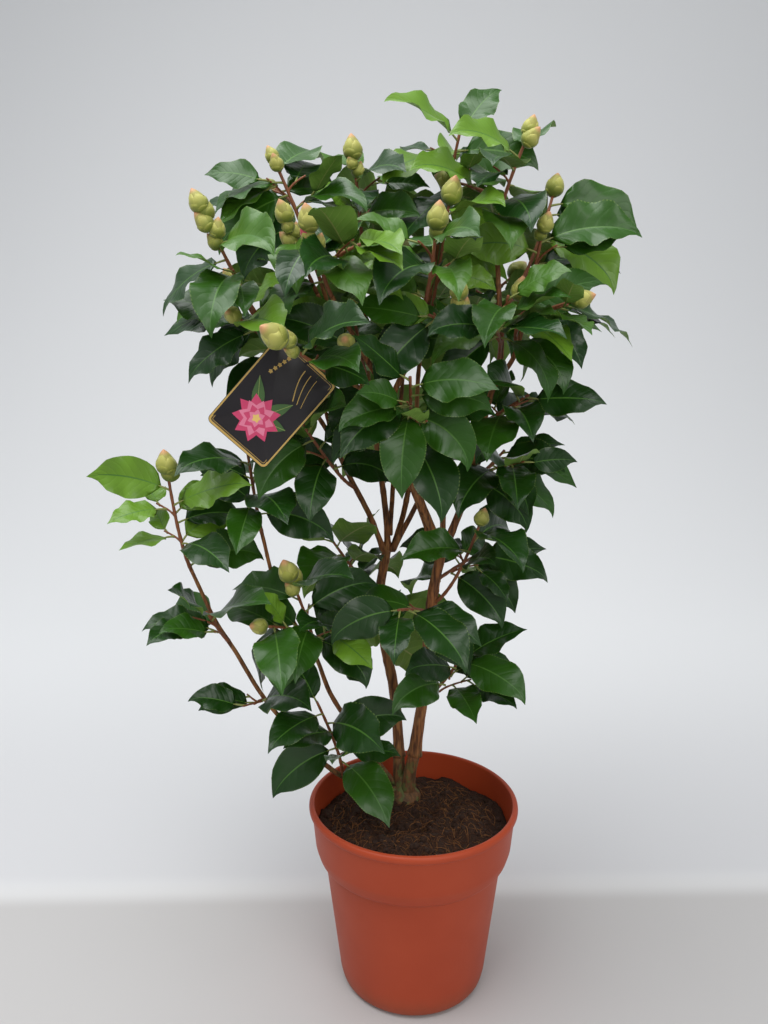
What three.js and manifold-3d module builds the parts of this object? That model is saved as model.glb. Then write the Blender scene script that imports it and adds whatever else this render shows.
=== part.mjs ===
// A young camellia in flower bud, about 0.9 m tall, in a 21 cm plastic container pot.
// Two stems rise from one root crown and fork into boughs; each bough ends in masses of twigs,
// leaves and buds, grown by one seeded rule. Millimetres, +Z up, origin under the middle of the pot.
import * as THREE from "three";
import { mergeVertices } from "three/addons/utils/BufferGeometryUtils.js";
import Module from "manifold-3d";

const wasm = await Module();
wasm.setup();
const degrees = THREE.MathUtils.degToRad;

// ---- driving dimensions ----
const POT = {
  height: 194,
  lipRadius: 107,
  lipHeight: 8,
  collarTop: 104,
  collarFoot: 100.5,
  collarFootZ: 150,
  waist: 91,
  waistZ: 134,
  foot: 76,
  footZ: 12,
  base: 69,
  wall: 2.6,
  floor: 4,
  sides: 34,
};
const SOIL = { crownZ: 174, crownRadius: 62, edgeZ: 166 };
const CLEAR = 0.4; // gap between neighbouring solids
const STALK = 9; // leaf stalk, from the middle of its twig to the blade
const NEXT_LEAF = 144; // turn round the twig from one leaf to the next
const LEAF = { length: 76, width: 0.57, thickness: 1.6, rootHalf: 0.5, lean: 54 };
const BUD = { length: 24, girth: 0.36, sunk: 3, rings: [[0.25, 0.9], [0.64, 0.88]] };
const TWIG = { foot: 2.2, tip: 1.6, side: 1.8 };
const LABEL = {
  hookedOn: "bough_front_left",
  hookedAt: 0.62,
  long: 98,
  wide: 66,
  corner: 5,
  thick: 0.9,
  centre: [-129, -62, 600],
  slope: 48,
  strapWidth: 7,
  loopWall: 1.2,
};
const SPINE_STEPS = 20;
const STATIONS = [0, 0.35, 0.7, 1]; // shares of a blade's length where its solid has corners
const LIFT = degrees(20); // how far the blade at a twig's tip turns up from its stalk
const STEEPEST = { first: degrees(64), other: degrees(34) }; // how steeply a blade may leave its stalk
const MIDDLE_Y = 45; // blades in front of this plane lean their faces forward, those behind it back
const MOST_LEAVES = 7;
const FIRST_SEED = 3160;
const SEED_STEP = 977;
const COLOUR = {
  pot: 0xb4492a,
  soil: 0x3a2416,
  bark: 0x80502e,
  leaf: 0x1e4d1c,
  label: 0x1d1a20,
};

// ---- limbs: each follows a smooth curve through its points, from a foot radius to a tip radius ----
const LIMBS = {
  stem_right: {
    points: [[3, 31, 226], [13, 25, 311], [18, 15, 395], [27, 10, 452]],
    radii: [6.2, 5],
  },
  stem_left: {
    points: [[-13, 44, 218], [-17, 48, 281], [-29, 50, 350], [-33, 50, 401], [-26, 45, 447]],
    radii: [5.8, 4.8],
  },
  bough_front: {
    points: [
      [27, 10, 453], [5, 0, 504], [-14, -20, 566], [-23, -30, 601], [-9, -42, 636],
      [4, -55, 684],
    ],
    radii: [4, 1.9],
  },
  bough_front_left: {
    points: [[-23, -30, 602], [-39, -35, 625], [-58, -44, 658], [-76, -51, 690]],
    radii: [2.7, 1.9],
  },
  bough_front_low: {
    points: [[-23, -32, 593], [-46, -50, 609], [-75, -78, 624]],
    radii: [2.2, 1.7],
  },
  bough_inner_left: {
    points: [
      [22, 12, 446], [4, 14, 500], [-21, 15, 556], [-43, 15, 600], [-67, 13, 647],
      [-92, 7, 698],
    ],
    radii: [3.4, 1.9],
  },
  bough_upper_left: {
    points: [[-70, 14, 654], [-90, 13, 712], [-103, 3, 752]],
    radii: [2.2, 1.7],
  },
  bough_pruned: {
    points: [[28, 12, 452], [29, 14, 514]],
    radii: [3, 2.8],
  },
  bough_back_right: {
    points: [[26, 15, 498], [23, 24, 531], [32, 42, 569], [38, 52, 615], [46, 60, 655]],
    radii: [2.4, 1.9],
  },
  bough_right: {
    points: [
      [30, 10, 453], [49, 5, 507], [60, 0, 556], [67, -5, 593], [79, -5, 640], [77, 0, 692],
      [74, 4, 744],
    ],
    radii: [4, 2],
  },
  bough_right_outer: {
    points: [[72, -5, 612], [91, -10, 642], [101, -10, 686]],
    radii: [2.4, 1.8],
  },
  bough_left: {
    points: [
      [-30, 45, 447], [-45, 40, 485], [-62, 30, 520], [-85, 10, 571], [-109, 0, 610],
      [-146, -24, 678],
    ],
    radii: [3, 1.8],
  },
  bough_centre: {
    points: [
      [-25, 45, 448], [-28, 50, 491], [-36, 55, 550], [-43, 60, 599], [-48, 59, 670],
      [-50, 54, 742],
    ],
    radii: [3.3, 1.9],
  },
  bough_back: {
    points: [[-23, 50, 462], [-20, 62, 500], [-16, 80, 546], [-10, 92, 600], [-6, 96, 650]],
    radii: [2.7, 1.9],
  },
  bough_peak: {
    points: [[-19, 47, 448], [-6, 60, 492], [4, 68, 557], [8, 66, 639], [28, 46, 776]],
    radii: [3.2, 1.8],
  },
  bough_inner_right: {
    points: [[-20, 42, 447], [4, 34, 496], [14, 26, 530], [26, 8, 580], [36, -12, 628]],
    radii: [2.7, 1.8],
  },
  shoot_left: {
    points: [
      [-16, 33, 184], [-45, 22, 197], [-71, 15, 209], [-94, 10, 229], [-118, 5, 259],
      [-151, 0, 304], [-175, -5, 351], [-195, -10, 389], [-215, -15, 440],
    ],
    radii: [2.8, 1.8],
  },
  shoot_inner: {
    points: [
      [-18, 41, 188], [-50, 37, 235], [-83, 25, 293], [-100, 15, 343], [-119, 10, 377],
      [-138, 10, 419], [-149, 5, 470],
    ],
    radii: [2.6, 1.8],
  },
};

// ---- foliage masses ----
// on, at: the limb each grows from, and where (0 the limb's foot, 1 its tip). tip: the tip of its stem.
// toward: compass bearings of its first leaves from the tip down, in degrees from +X towards +Y.
// leaves: how many in all, the rest following by the turn below. sides: bearings of its side twigs.
const MASSES = {
  foliage_peak: {
    on: "bough_peak", at: 1, tip: [42, 28, 850],
    toward: [40, 200, 320, 100], leaves: 7, sides: [], buds: 0,
  },
  foliage_top_right: {
    on: "bough_right", at: 1, tip: [98, -10, 834],
    toward: [80, 0, 190, 250, 20], leaves: 7, sides: [150], buds: 2,
  },
  foliage_right_far: {
    on: "bough_right", at: 0.8, tip: [126, 8, 788],
    toward: [30, 350, 300, 200], leaves: 6, sides: [70], buds: 1,
  },
  foliage_shoulder_right: {
    on: "bough_right_outer", at: 1, tip: [110, -28, 750],
    toward: [240, 355, 180, 90], leaves: 7, sides: [], buds: 2,
  },
  foliage_outer_right: {
    on: "bough_right_outer", at: 0.55, tip: [88, -44, 690],
    toward: [0, 330, 220, 60], leaves: 5, sides: [326], buds: 1,
  },
  foliage_front: {
    on: "bough_front", at: 1, tip: [12, -72, 744],
    toward: [190, 330, 90, 230], leaves: 7, sides: [], buds: 2,
  },
  foliage_front_buds: {
    on: "bough_inner_right", at: 1, tip: [34, -50, 690],
    toward: [350, 200, 260, 90], leaves: 6, sides: [230], buds: 3,
  },
  foliage_back: {
    on: "bough_back", at: 1, tip: [-4, 104, 742],
    toward: [60, 200, 330], leaves: 6, sides: [30, 160], buds: 1,
  },
  foliage_top: {
    on: "bough_centre", at: 1, tip: [-58, 40, 826],
    toward: [0, 180, 345, 270], leaves: 6, sides: [40], buds: 3,
  },
  foliage_upper_left: {
    on: "bough_upper_left", at: 1, tip: [-128, -8, 812],
    toward: [50, 300, 175, 200], leaves: 6, sides: [110], buds: 2,
  },
  foliage_inner_left: {
    on: "bough_inner_left", at: 1, tip: [-116, -24, 758],
    toward: [15, 190, 270], leaves: 6, sides: [], buds: 4,
  },
  foliage_front_left: {
    on: "bough_front_left", at: 1, tip: [-92, -72, 742],
    toward: [340, 200, 20, 260], leaves: 6, sides: [340], buds: 3,
  },
  foliage_far_left: {
    on: "bough_left", at: 1, tip: [-186, -46, 762],
    toward: [190, 60, 185, 320], leaves: 6, sides: [], buds: 5,
  },
  foliage_low_left: {
    on: "bough_front_low", at: 1, tip: [-113, -110, 650],
    toward: [168, 35, 110], leaves: 4, sides: [], buds: 3,
  },
  foliage_shoulder_left: {
    on: "bough_left", at: 0.85, tip: [-168, 0, 706],
    toward: [185, 165, 230, 20], leaves: 5, sides: [250], buds: 1,
  },
  foliage_back_left: {
    on: "bough_left", at: 0.55, tip: [-124, 76, 712],
    toward: [110, 200, 20], leaves: 6, sides: [170, 110], buds: 1,
  },
  foliage_back_right: {
    on: "bough_back_right", at: 1, tip: [104, 84, 724],
    toward: [50, 320, 180], leaves: 6, sides: [20, 140], buds: 1,
  },
  foliage_heart: {
    on: "bough_inner_left", at: 0.62, tip: [-58, -48, 676],
    toward: [200, 330, 270], leaves: 7, sides: [255], buds: 1,
  },
  foliage_heart_right: {
    on: "bough_right", at: 0.62, tip: [74, -66, 690],
    toward: [340, 220, 280], leaves: 7, sides: [250], buds: 0,
  },
  foliage_heart_back: {
    on: "bough_centre", at: 0.6, tip: [-70, 116, 690],
    toward: [120, 30, 200], leaves: 6, sides: [150], buds: 1,
  },
  foliage_high_front: {
    on: "bough_peak", at: 0.74, tip: [28, -16, 776],
    toward: [215, 300, 20], leaves: 7, sides: [240], buds: 1,
  },
  foliage_middle: {
    on: "bough_front", at: 0.36, tip: [-10, -84, 622],
    toward: [185, 345, 310, 215], leaves: 7, sides: [], buds: 0,
  },
  foliage_middle_right: {
    on: "bough_right", at: 0.44, tip: [100, -36, 606],
    toward: [335, 190, 20, 300], leaves: 6, sides: [], buds: 0,
  },
  foliage_core_right: {
    on: "bough_right", at: 0.2, tip: [90, 26, 550],
    toward: [350, 320, 10, 200], leaves: 6, sides: [300], buds: 0,
  },
  foliage_middle_left: {
    on: "bough_left", at: 0.36, tip: [-106, -22, 580],
    toward: [205, 330, 180, 100], leaves: 6, sides: [], buds: 0,
  },
  foliage_middle_back: {
    on: "bough_back", at: 0.45, tip: [-40, 122, 590],
    toward: [90, 200, 340], leaves: 6, sides: [60], buds: 0,
  },
  foliage_left_tip: {
    on: "shoot_left", at: 1, tip: [-230, -28, 536], step: 1.6,
    toward: [195, 170, 345, 30, 320, 20], leaves: 6, sides: [], buds: 2,
  },
  foliage_left_shoot: {
    on: "shoot_left", at: 0.8, tip: [-200, -26, 402],
    toward: [255, 345], leaves: 3, sides: [], buds: 0,
  },
  foliage_left_low: {
    on: "shoot_left", at: 0.62, tip: [-158, -20, 306], step: 1.3,
    toward: [185, 40], leaves: 2, sides: [], buds: 0,
  },
  foliage_inner_tip: {
    on: "shoot_inner", at: 1, tip: [-160, -4, 556], step: 1.5,
    toward: [160, 185, 300, 235, 20], leaves: 7, sides: [], buds: 1,
  },
  foliage_inner_low: {
    on: "shoot_inner", at: 0.5, tip: [-118, -34, 436], step: 1.3,
    toward: [190, 290, 170, 40], leaves: 7, sides: [215], buds: 3,
  },
  foliage_rim_left: {
    on: "shoot_left", at: 0.26, tip: [-96, -26, 310], step: 1.5,
    toward: [120, 230, 330, 20], leaves: 7, sides: [], buds: 0,
  },
  foliage_stem_front: {
    on: "stem_right", at: 0.62, tip: [-18, -46, 408],
    toward: [245, 190, 290, 330], leaves: 7, sides: [], buds: 0,
  },
  foliage_stem_left: {
    on: "stem_left", at: 0.7, tip: [-84, 52, 456],
    toward: [200, 330, 250, 120], leaves: 6, sides: [], buds: 0,
  },
  foliage_stem_right: {
    on: "stem_right", at: 0.8, tip: [74, 38, 446],
    toward: [350, 320, 20, 200], leaves: 6, sides: [], buds: 0,
  },
  foliage_low_right: {
    on: "stem_right", at: 0.25, tip: [50, -2, 350],
    toward: [350, 320, 210, 60], leaves: 5, sides: [], buds: 0,
  },
  foliage_twig_right: {
    on: "stem_right", at: 0.68, tip: [60, -24, 486],
    toward: [340, 300, 20, 200], leaves: 4, sides: [], buds: 1,
  },
  foliage_stem_back: {
    on: "stem_left", at: 0.45, tip: [-20, 108, 372],
    toward: [90, 220, 340], leaves: 6, sides: [], buds: 0,
  },
};

// ---- small helpers ----
const lerp = THREE.MathUtils.lerp;
const vector = (xyz) => new THREE.Vector3(...xyz);
const UP = new THREE.Vector3(0, 0, 1);

// A point moved along some directions: moved(p, [d, 2], [e, -1]) is p + 2 d - e.
function moved(point, ...steps) {
  const result = point.clone();
  for (const [direction, distance] of steps) result.addScaledVector(direction, distance);
  return result;
}

const bearingWay = (bearing, rise = 0) =>
  new THREE.Vector3(Math.cos(degrees(bearing)), Math.sin(degrees(bearing)), rise).normalize();

// A repeatable row of numbers between two limits.
function seeded(seed) {
  let state = seed;
  return (low, high) => {
    state = (state * 1664525 + 1013904223) % 4294967296;
    return low + ((high - low) * state) / 4294967296;
  };
}

// ---- solids ----
// A three.js geometry as a solid that can be joined and cut. Triangles that have shrunk to a line go.
function solidOf(geometry) {
  const bare = geometry.clone();
  bare.deleteAttribute("normal");
  bare.deleteAttribute("uv");
  const merged = mergeVertices(bare, 1e-4);
  const corners = Array.from(merged.index.array);
  const triangles = [];
  for (let i = 0; i < corners.length; i += 3) {
    const triangle = corners.slice(i, i + 3);
    if (new Set(triangle).size === 3) triangles.push(...triangle);
  }
  const vertProperties = new Float32Array(merged.attributes.position.array);
  const triVerts = new Uint32Array(triangles);
  return new wasm.Manifold(new wasm.Mesh({ numProp: 3, vertProperties, triVerts }));
}

function geometryOf(solid) {
  const mesh = solid.getMesh();
  const geometry = new THREE.BufferGeometry();
  geometry.setAttribute("position", new THREE.BufferAttribute(new Float32Array(mesh.vertProperties), 3));
  geometry.setIndex(new THREE.BufferAttribute(new Uint32Array(mesh.triVerts), 1));
  geometry.computeVertexNormals();
  return geometry;
}

// The biggest separate piece of a solid, so that no scrap of a cut is kept.
function biggest(solid) {
  return solid.decompose().reduce((best, piece) => (piece.volume() > best.volume() ? piece : best));
}

// A cylinder with each point moved to where place puts it. place is given the point's ring, counted
// from the foot, and its place on a circle of radius 1, as x and z.
function bentCylinder(sides, rings, place, openEnded = false) {
  const geometry = new THREE.CylinderGeometry(1, 1, 1, sides, rings - 1, openEnded);
  const position = geometry.attributes.position;
  for (let i = 0; i < position.count; i++) {
    const ring = Math.round((position.getY(i) + 0.5) * (rings - 1));
    const point = place(ring, position.getX(i), position.getZ(i));
    position.setXYZ(i, point.x, point.y, point.z);
  }
  return solidOf(geometry);
}

// A tube along a path with one radius for each of its points. facing: the way its foot is cut.
function tube(path, radii, sides, facing) {
  const last = path.length - 1;
  let across = new THREE.Vector3(1, 0.31, 0.17);
  const frames = path.map((point, ring) => {
    const along = path[Math.min(ring + 1, last)].clone().sub(path[Math.max(ring - 1, 0)]).normalize();
    across = moved(across, [along, -across.dot(along)]).normalize();
    return { point, along, across, other: across.clone().cross(along) };
  });
  return bentCylinder(sides, path.length, (ring, x, z) => {
    const { point, along, across: a, other: b } = frames[ring];
    const corner = moved(point, [a, x * radii[ring]], [b, z * radii[ring]]);
    if (!facing || ring > 0) return corner;
    return moved(corner, [along, point.clone().sub(corner).dot(facing) / along.dot(facing)]);
  });
}

// ---- limbs ----
const limbCurves = {};
const limbRings = {};
for (const [name, { points, radii }] of Object.entries(LIMBS)) {
  const curve = new THREE.CatmullRomCurve3(points.map(vector), false, "catmullrom", 0.5);
  const steps = Math.ceil(1.5 * (points.length - 1));
  limbCurves[name] = curve;
  limbRings[name] = Array.from({ length: steps + 1 }, (_, i) => ({
    point: curve.getPoint(i / steps),
    radius: lerp(...radii, i / steps),
  }));
}

// Where a limb is at a share of its length, which way it runs there, and its radius.
function limbAt(name, share) {
  const rings = limbRings[name];
  const place = share * (rings.length - 1);
  const i = Math.min(Math.floor(place), rings.length - 2);
  const [near, far] = [rings[i], rings[i + 1]];
  return {
    point: near.point.clone().lerp(far.point, place - i),
    along: far.point.clone().sub(near.point).normalize(),
    radius: lerp(near.radius, far.radius, place - i),
  };
}

// grown is how far the limb's skin is moved out, for cutting its neighbours clear of it.
function limbSolid(name, grown = 0) {
  const path = limbRings[name].map((ring) => ring.point.clone());
  const last = path.length - 1;
  const ends = [path[0].clone().sub(path[1]), path[last].clone().sub(path[last - 1])];
  path[0].addScaledVector(ends[0].normalize(), grown);
  path[last].addScaledVector(ends[1].normalize(), grown);
  const radii = limbRings[name].map((ring) => ring.radius + grown);
  return tube(path, radii, name.startsWith("stem") ? 9 : 6);
}

// The root crown: a flared foot, cut flat at soil level, with a leg up to each stem and a cut-back stub.
function rootCrown(grown = 0) {
  const ground = SOIL.crownZ + 0.3 - grown;
  const wide = (radii) => radii.map((radius) => radius + grown);
  const legTo = (name, ...points) => {
    const end = vector(LIMBS[name].points[0]);
    return [...points.map(vector), end.setZ(end.z - CLEAR + grown)];
  };
  const flare = [[-8, 37, ground - 8], [-8, 37, ground + 6], [-8, 37.5, 192]].map(vector);
  const stub = [[-14, 36, ground], [-25, 34, 186], [-34, 32, 199]].map(vector);
  const parts = [
    tube(flare, wide([21, 14, 8]), 9),
    tube(legTo("stem_right", [-5, 34.5, 178], [-2, 33, 202]), wide([8.6, 7, 6.3]), 8),
    tube(legTo("stem_left", [-11, 40, 178], [-12.5, 42, 200]), wide([8, 6.6, 5.9]), 8),
    tube(stub, wide([3.4, 2.8, 2.4]), 6),
  ];
  const below = new THREE.BoxGeometry(200, 200, 100).translate(0, 0, ground - 50);
  return biggest(wasm.Manifold.union(parts).subtract(solidOf(below)));
}

// ---- twigs ----
// A twig sets off one way and bends over to its tip.
function twigPath(from, heading, to, steps) {
  const elbow = moved(from, [heading, 0.3 * to.distanceTo(from)]);
  const curve = new THREE.QuadraticBezierCurve3(from, elbow, to);
  return Array.from({ length: steps + 1 }, (_, i) => curve.getPoint(i / steps));
}

// A mass's stem starts a gap away from its limb, on the end of it or on its side, with its foot cut to
// face the limb.
function growStem(mass) {
  const limb = limbAt(mass.on, mass.at);
  const atEnd = mass.at === 1;
  const reach = vector(mass.tip).sub(limb.point);
  const outward = moved(reach, [limb.along, -reach.dot(limb.along)]).normalize();
  const facing = atEnd ? limb.along : outward;
  const from = moved(limb.point, [facing, atEnd ? CLEAR : limb.radius + CLEAR]);
  const heading = moved(facing, [limb.along, atEnd ? 0 : 0.8]).normalize();
  const path = twigPath(from, heading, vector(mass.tip), 4);
  return { path, radii: [TWIG.foot, TWIG.tip], facing, step: 1, ...mass };
}

// Side twigs fork off the stem one after another.
function growSide(stem, bearing, k, draw) {
  const fork = stem.path[1 + k].clone().lerp(stem.path[2 + k], 0.5);
  const along = stem.path[2 + k].clone().sub(fork).normalize();
  const reach = draw(46, 62);
  const tip = moved(fork, [bearingWay(bearing, 0.15), 0.85 * reach], [along, 0.4 * reach]);
  const buds = stem.buds > 0 && draw(0, 1) < 0.6 ? 1 : 0;
  const toward = [bearing - 30, bearing + 60];
  const path = twigPath(fork, along, tip, 2);
  return { path, radii: [TWIG.side, TWIG.tip], toward, leaves: 4, buds, step: 1 };
}

function growTwigs(mass, draw) {
  const stem = growStem(mass);
  const twigs = [stem, ...mass.sides.map((bearing, k) => growSide(stem, bearing, k, draw))];
  for (const twig of twigs) {
    const last = twig.path.length - 1;
    twig.widths = twig.path.map((_, i) => lerp(...twig.radii, i / last));
  }
  return twigs;
}

// The point of a twig at a distance back from its tip, with the twig's direction there.
function backFromTip(twig, distance) {
  let left = distance;
  for (let i = twig.path.length - 1; i > 0; i--) {
    const step = twig.path[i].distanceTo(twig.path[i - 1]);
    if (left <= step) {
      const along = twig.path[i].clone().sub(twig.path[i - 1]).normalize();
      return { point: moved(twig.path[i], [along, -left]), along };
    }
    left -= step;
  }
  return null;
}

// A direction at an angle to the twig, on the side that faces a compass bearing.
function leaving(along, bearing, angle) {
  const flat = bearingWay(bearing);
  const out = moved(flat, [along, -flat.dot(along)]);
  if (out.length() < 0.1) out.copy(UP);
  out.normalize();
  return moved(along.clone().multiplyScalar(Math.cos(degrees(angle))), [out, Math.sin(degrees(angle))]);
}

// ---- buds ----
function growBuds(twig, draw) {
  const buds = [];
  for (let k = 0; k < twig.buds; k++) {
    const place = backFromTip(twig, k === 0 ? BUD.sunk : 2 + 8 * k);
    const angle = k === 0 ? draw(0, 12) : draw(20, 34);
    const length = BUD.length * draw(0.85, 1.12) * (k === 0 ? 1.08 : 0.92);
    if (!place) continue;
    const way = leaving(place.along, twig.toward[0] + 80 + 150 * k, angle);
    buds.push({ from: place.point, way, length, radius: BUD.girth * length });
  }
  return buds;
}

// A bud is four-sided, pointed at both ends and fullest below its middle.
function budSolid({ from, way, length, radius }) {
  const rings = BUD.rings.map(([share, girth]) => new THREE.Vector2(girth * radius, share * length));
  const profile = [new THREE.Vector2(0, 0), ...rings, new THREE.Vector2(0, length)];
  const bud = new THREE.LatheGeometry(profile, 4);
  bud.applyQuaternion(new THREE.Quaternion().setFromUnitVectors(new THREE.Vector3(0, 1, 0), way));
  return solidOf(bud.translate(from.x, from.y, from.z));
}

// ---- leaves ----
// A blade's half width at a share of its length, as a share of its widest.
const outline = (share) => Math.sin(Math.PI * share ** 0.78) ** 0.86;

// The blade's middle line leaves the stalk, droops evenly and curls down over its last third.
function bladeSpine(leaf) {
  const heading = new THREE.Vector3(Math.cos(leaf.turn), Math.sin(leaf.turn), 0);
  const step = leaf.length / SPINE_STEPS;
  const spine = [leaf.neck];
  for (let i = 0; i < SPINE_STEPS; i++) {
    const share = (i + 0.5) / SPINE_STEPS;
    const rise = leaf.rise - leaf.droop * share - leaf.curl * Math.max(0, share - 0.66) ** 2;
    spine.push(moved(spine[i], [heading, step * Math.cos(rise)], [UP, step * Math.sin(rise)]));
  }
  return spine;
}

// Middle, left and right points of the blade at each station, and the blade's normal there. The two
// halves of the blade fold up from its middle line, and the whole is rolled about it.
function bladeStations(leaf) {
  const spine = bladeSpine(leaf);
  const level = new THREE.Vector3(Math.sin(leaf.turn), -Math.cos(leaf.turn), 0);
  return STATIONS.map((share) => {
    const i = Math.round(share * SPINE_STEPS);
    const middle = spine[i];
    const along = spine[Math.min(i + 1, SPINE_STEPS)].clone().sub(spine[Math.max(i - 1, 0)]).normalize();
    const across = level.clone().applyAxisAngle(along, leaf.roll);
    const normal = across.clone().cross(along);
    const half = 0.5 * LEAF.width * leaf.length * outline(share);
    const [wide, high] = [half * Math.cos(leaf.fold), half * Math.sin(leaf.fold)];
    const right = moved(middle, [across, wide], [normal, high]);
    const left = moved(middle, [across, -wide], [normal, high]);
    return { middle, right, left, normal };
  });
}

// A blade with a thick middle and sharp edges. Its foot is a short upright edge inside the twig.
function leafSolid({ leaf, stations }) {
  const last = stations.length - 1;
  return bentCylinder(4, stations.length, (ring, x, z) => {
    const { middle, left, right, normal } = stations[ring];
    const [side, lift] = [Math.round(x), Math.round(z)];
    if (ring === 0) return moved(leaf.foot, [normal, LEAF.rootHalf * (lift || side)]);
    if (ring === last) return middle;
    if (lift) return moved(middle, [normal, (lift * LEAF.thickness) / 2]);
    return side > 0 ? right : left;
  }, true);
}

// ---- room ----
// Rods are limbs, twigs, stalks and buds: a line with a radius. Sheets are leaf blades and the label.
const rods = [];
const sheets = [];

function addRods(owner, path, radii) {
  for (let i = 0; i + 1 < path.length; i++) {
    rods.push({ owner, from: path[i], to: path[i + 1], radius: Math.max(radii[i], radii[i + 1]) });
  }
}

// The least distance between the lines a-b and c-d.
function gapBetween(a, b, c, d) {
  const [first, second, apart] = [b.clone().sub(a), d.clone().sub(c), a.clone().sub(c)];
  const [ff, ss, fs] = [first.lengthSq(), second.lengthSq(), first.dot(second)];
  const [fa, sa] = [first.dot(apart), second.dot(apart)];
  const across = ff * ss - fs * fs;
  const start = across > 1e-9 ? THREE.MathUtils.clamp((fs * sa - fa * ss) / across, 0, 1) : 0;
  const u = THREE.MathUtils.clamp((fs * start + sa) / ss, 0, 1);
  const t = THREE.MathUtils.clamp((fs * u - fa) / ff, 0, 1);
  return moved(a, [first, t]).distanceTo(moved(c, [second, u]));
}

// Whether the line from a to b passes through triangle c, d, e.
function pierces(a, b, [c, d, e]) {
  const reach = b.clone().sub(a);
  const ray = new THREE.Ray(a, reach.clone().normalize());
  const hit = ray.intersectTriangle(c, d, e, false, new THREE.Vector3());
  return hit !== null && hit.distanceTo(a) <= reach.length();
}

// The blade as one layer of triangles.
function bladeSheet([foot, ...others]) {
  const tip = others.pop().middle;
  const triangles = [];
  for (const side of ["right", "left"]) {
    triangles.push([foot.middle, others[0][side], others[0].middle]);
    for (let i = 0; i + 1 < others.length; i++) {
      const [near, far] = [others[i], others[i + 1]];
      triangles.push([near.middle, near[side], far[side]], [near.middle, far[side], far.middle]);
    }
    triangles.push([others.at(-1).middle, others.at(-1)[side], tip]);
  }
  return triangles;
}

// Lines along and across the blade on both of its faces, and through it.
function bladeProbes(stations) {
  const lines = [];
  const off = (station, line, lift) => moved(station[line], [station.normal, lift * LEAF.thickness]);
  stations.forEach((here, i) => {
    const next = stations[i + 1];
    for (const line of ["middle", "right", "left"]) {
      lines.push([off(here, line, 1), off(here, line, -1)]);
      if (next) for (const lift of [-1, 0, 1]) lines.push([off(here, line, lift), off(next, line, lift)]);
    }
    for (const lift of next && i > 0 ? [-1, 0, 1] : []) {
      lines.push([off(here, "left", lift), off(here, "right", lift)]);
    }
  });
  return lines;
}

// The pot and soil are round, so a point's height and distance from the axis say whether it is clear.
function clearOfPot(point) {
  const out = Math.hypot(point.x, point.y);
  if (point.z > POT.height + 5) return true;
  if (out > POT.lipRadius + 5) return point.z > 5;
  return out < POT.collarFoot - POT.wall - 6 && point.z > SOIL.crownZ + 5;
}

// Nothing hangs in front of the label's face.
function clearOfLabel(point) {
  const { centre, slope, long, wide } = LABEL;
  const away = point.clone().sub(vector(centre)).applyAxisAngle(new THREE.Vector3(0, 1, 0), degrees(slope));
  return away.y > 6 || Math.abs(away.x) > 0.46 * long || Math.abs(away.z) > 0.46 * wide;
}

// The leaf with its blade worked out, or null where it would cross or touch something.
function fitLeaf(leaf, owner) {
  const stations = bladeStations(leaf);
  const sheet = bladeSheet(stations);
  const centre = stations[1].middle;
  const middles = sheet.map(([a, b, c]) => a.clone().add(b).add(c).divideScalar(3));
  const spots = [...middles, ...stations.flatMap(({ middle, left, right }) => [middle, left, right])];
  if (!spots.every((spot) => clearOfPot(spot) && clearOfLabel(spot))) return null;
  const reach = 0.7 * leaf.length;
  const edges = sheet.flatMap(([a, b, c]) => [[a, b], [b, c]]);
  for (const { from, to, radius } of rods) {
    const middle = from.clone().lerp(to, 0.5);
    if (middle.distanceTo(centre) > reach + from.distanceTo(to)) continue;
    if (sheet.some((triangle) => pierces(from, to, triangle))) return null;
    if (edges.some(([a, b]) => gapBetween(a, b, from, to) < radius + 1.4)) return null;
  }
  const probes = bladeProbes(stations);
  const crosses = (lines, triangles) => triangles.some((face) => lines.some(([a, b]) => pierces(a, b, face)));
  for (const other of sheets) {
    if (other.centre.distanceTo(centre) > reach + 60) continue;
    if (crosses(probes, other.sheet) || crosses(other.probes, sheet)) return null;
    if (crosses([[leaf.foot, leaf.neck]], other.sheet)) return null;
  }
  return { leaf, stations, sheet, probes, centre, owner };
}

// One leaf of a twig, number k back from the tip, turned round the twig until it has room.
function growLeaf(twig, k, draw, owner) {
  const place = backFromTip(twig, twig.step * (4 + 6.5 * k + 0.9 * k * k));
  const length = LEAF.length * draw(0.86, 1.1) * (k === 0 ? 0.8 : 1);
  const named = Math.min(k, twig.toward.length - 1);
  const bearing = twig.toward[named] + NEXT_LEAF * (k - named) + draw(-8, 8);
  const angle = Math.min(50 + 10 * k, 80) + draw(-6, 6);
  const droop = degrees(draw(6, 44) + 7 * k);
  const curl = degrees(draw(0, 420));
  const lean = draw(-30, 30);
  const fold = degrees(draw(-6, 28));
  if (!place) return;
  for (const turned of [0, 35, -35, 70, -70, 110, -110, 150]) {
    const way = leaving(place.along, bearing + turned, angle);
    const neck = moved(place.point, [way, STALK]);
    const leaf = { foot: place.point, neck, length, droop, curl, fold, turn: Math.atan2(way.y, way.x) };
    const side = neck.y < MIDDLE_Y ? 1 : -1;
    leaf.roll = degrees(lean + LEAF.lean * Math.cos(leaf.turn) * side);
    const [lift, steepest] = k === 0 ? [LIFT, STEEPEST.first] : [0, STEEPEST.other];
    leaf.rise = Math.min(Math.asin(way.z) + lift, steepest);
    const placed = fitLeaf(leaf, owner);
    if (placed) {
      sheets.push(placed);
      addRods(owner, [leaf.foot.clone().lerp(neck, 0.4), neck], [0.8, 0.8]);
      return;
    }
  }
}

// ---- assembly ----
const shrub = new THREE.Group();
const kept = new Map(); // each wooden solid, moved out by the gap, for cutting the ones that meet it

function addMesh(name, geometry, colour, roughness) {
  const material = new THREE.MeshStandardMaterial({ color: colour, roughness, metalness: 0 });
  const mesh = new THREE.Mesh(geometry, material);
  mesh.name = name;
  shrub.add(mesh);
}

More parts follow.
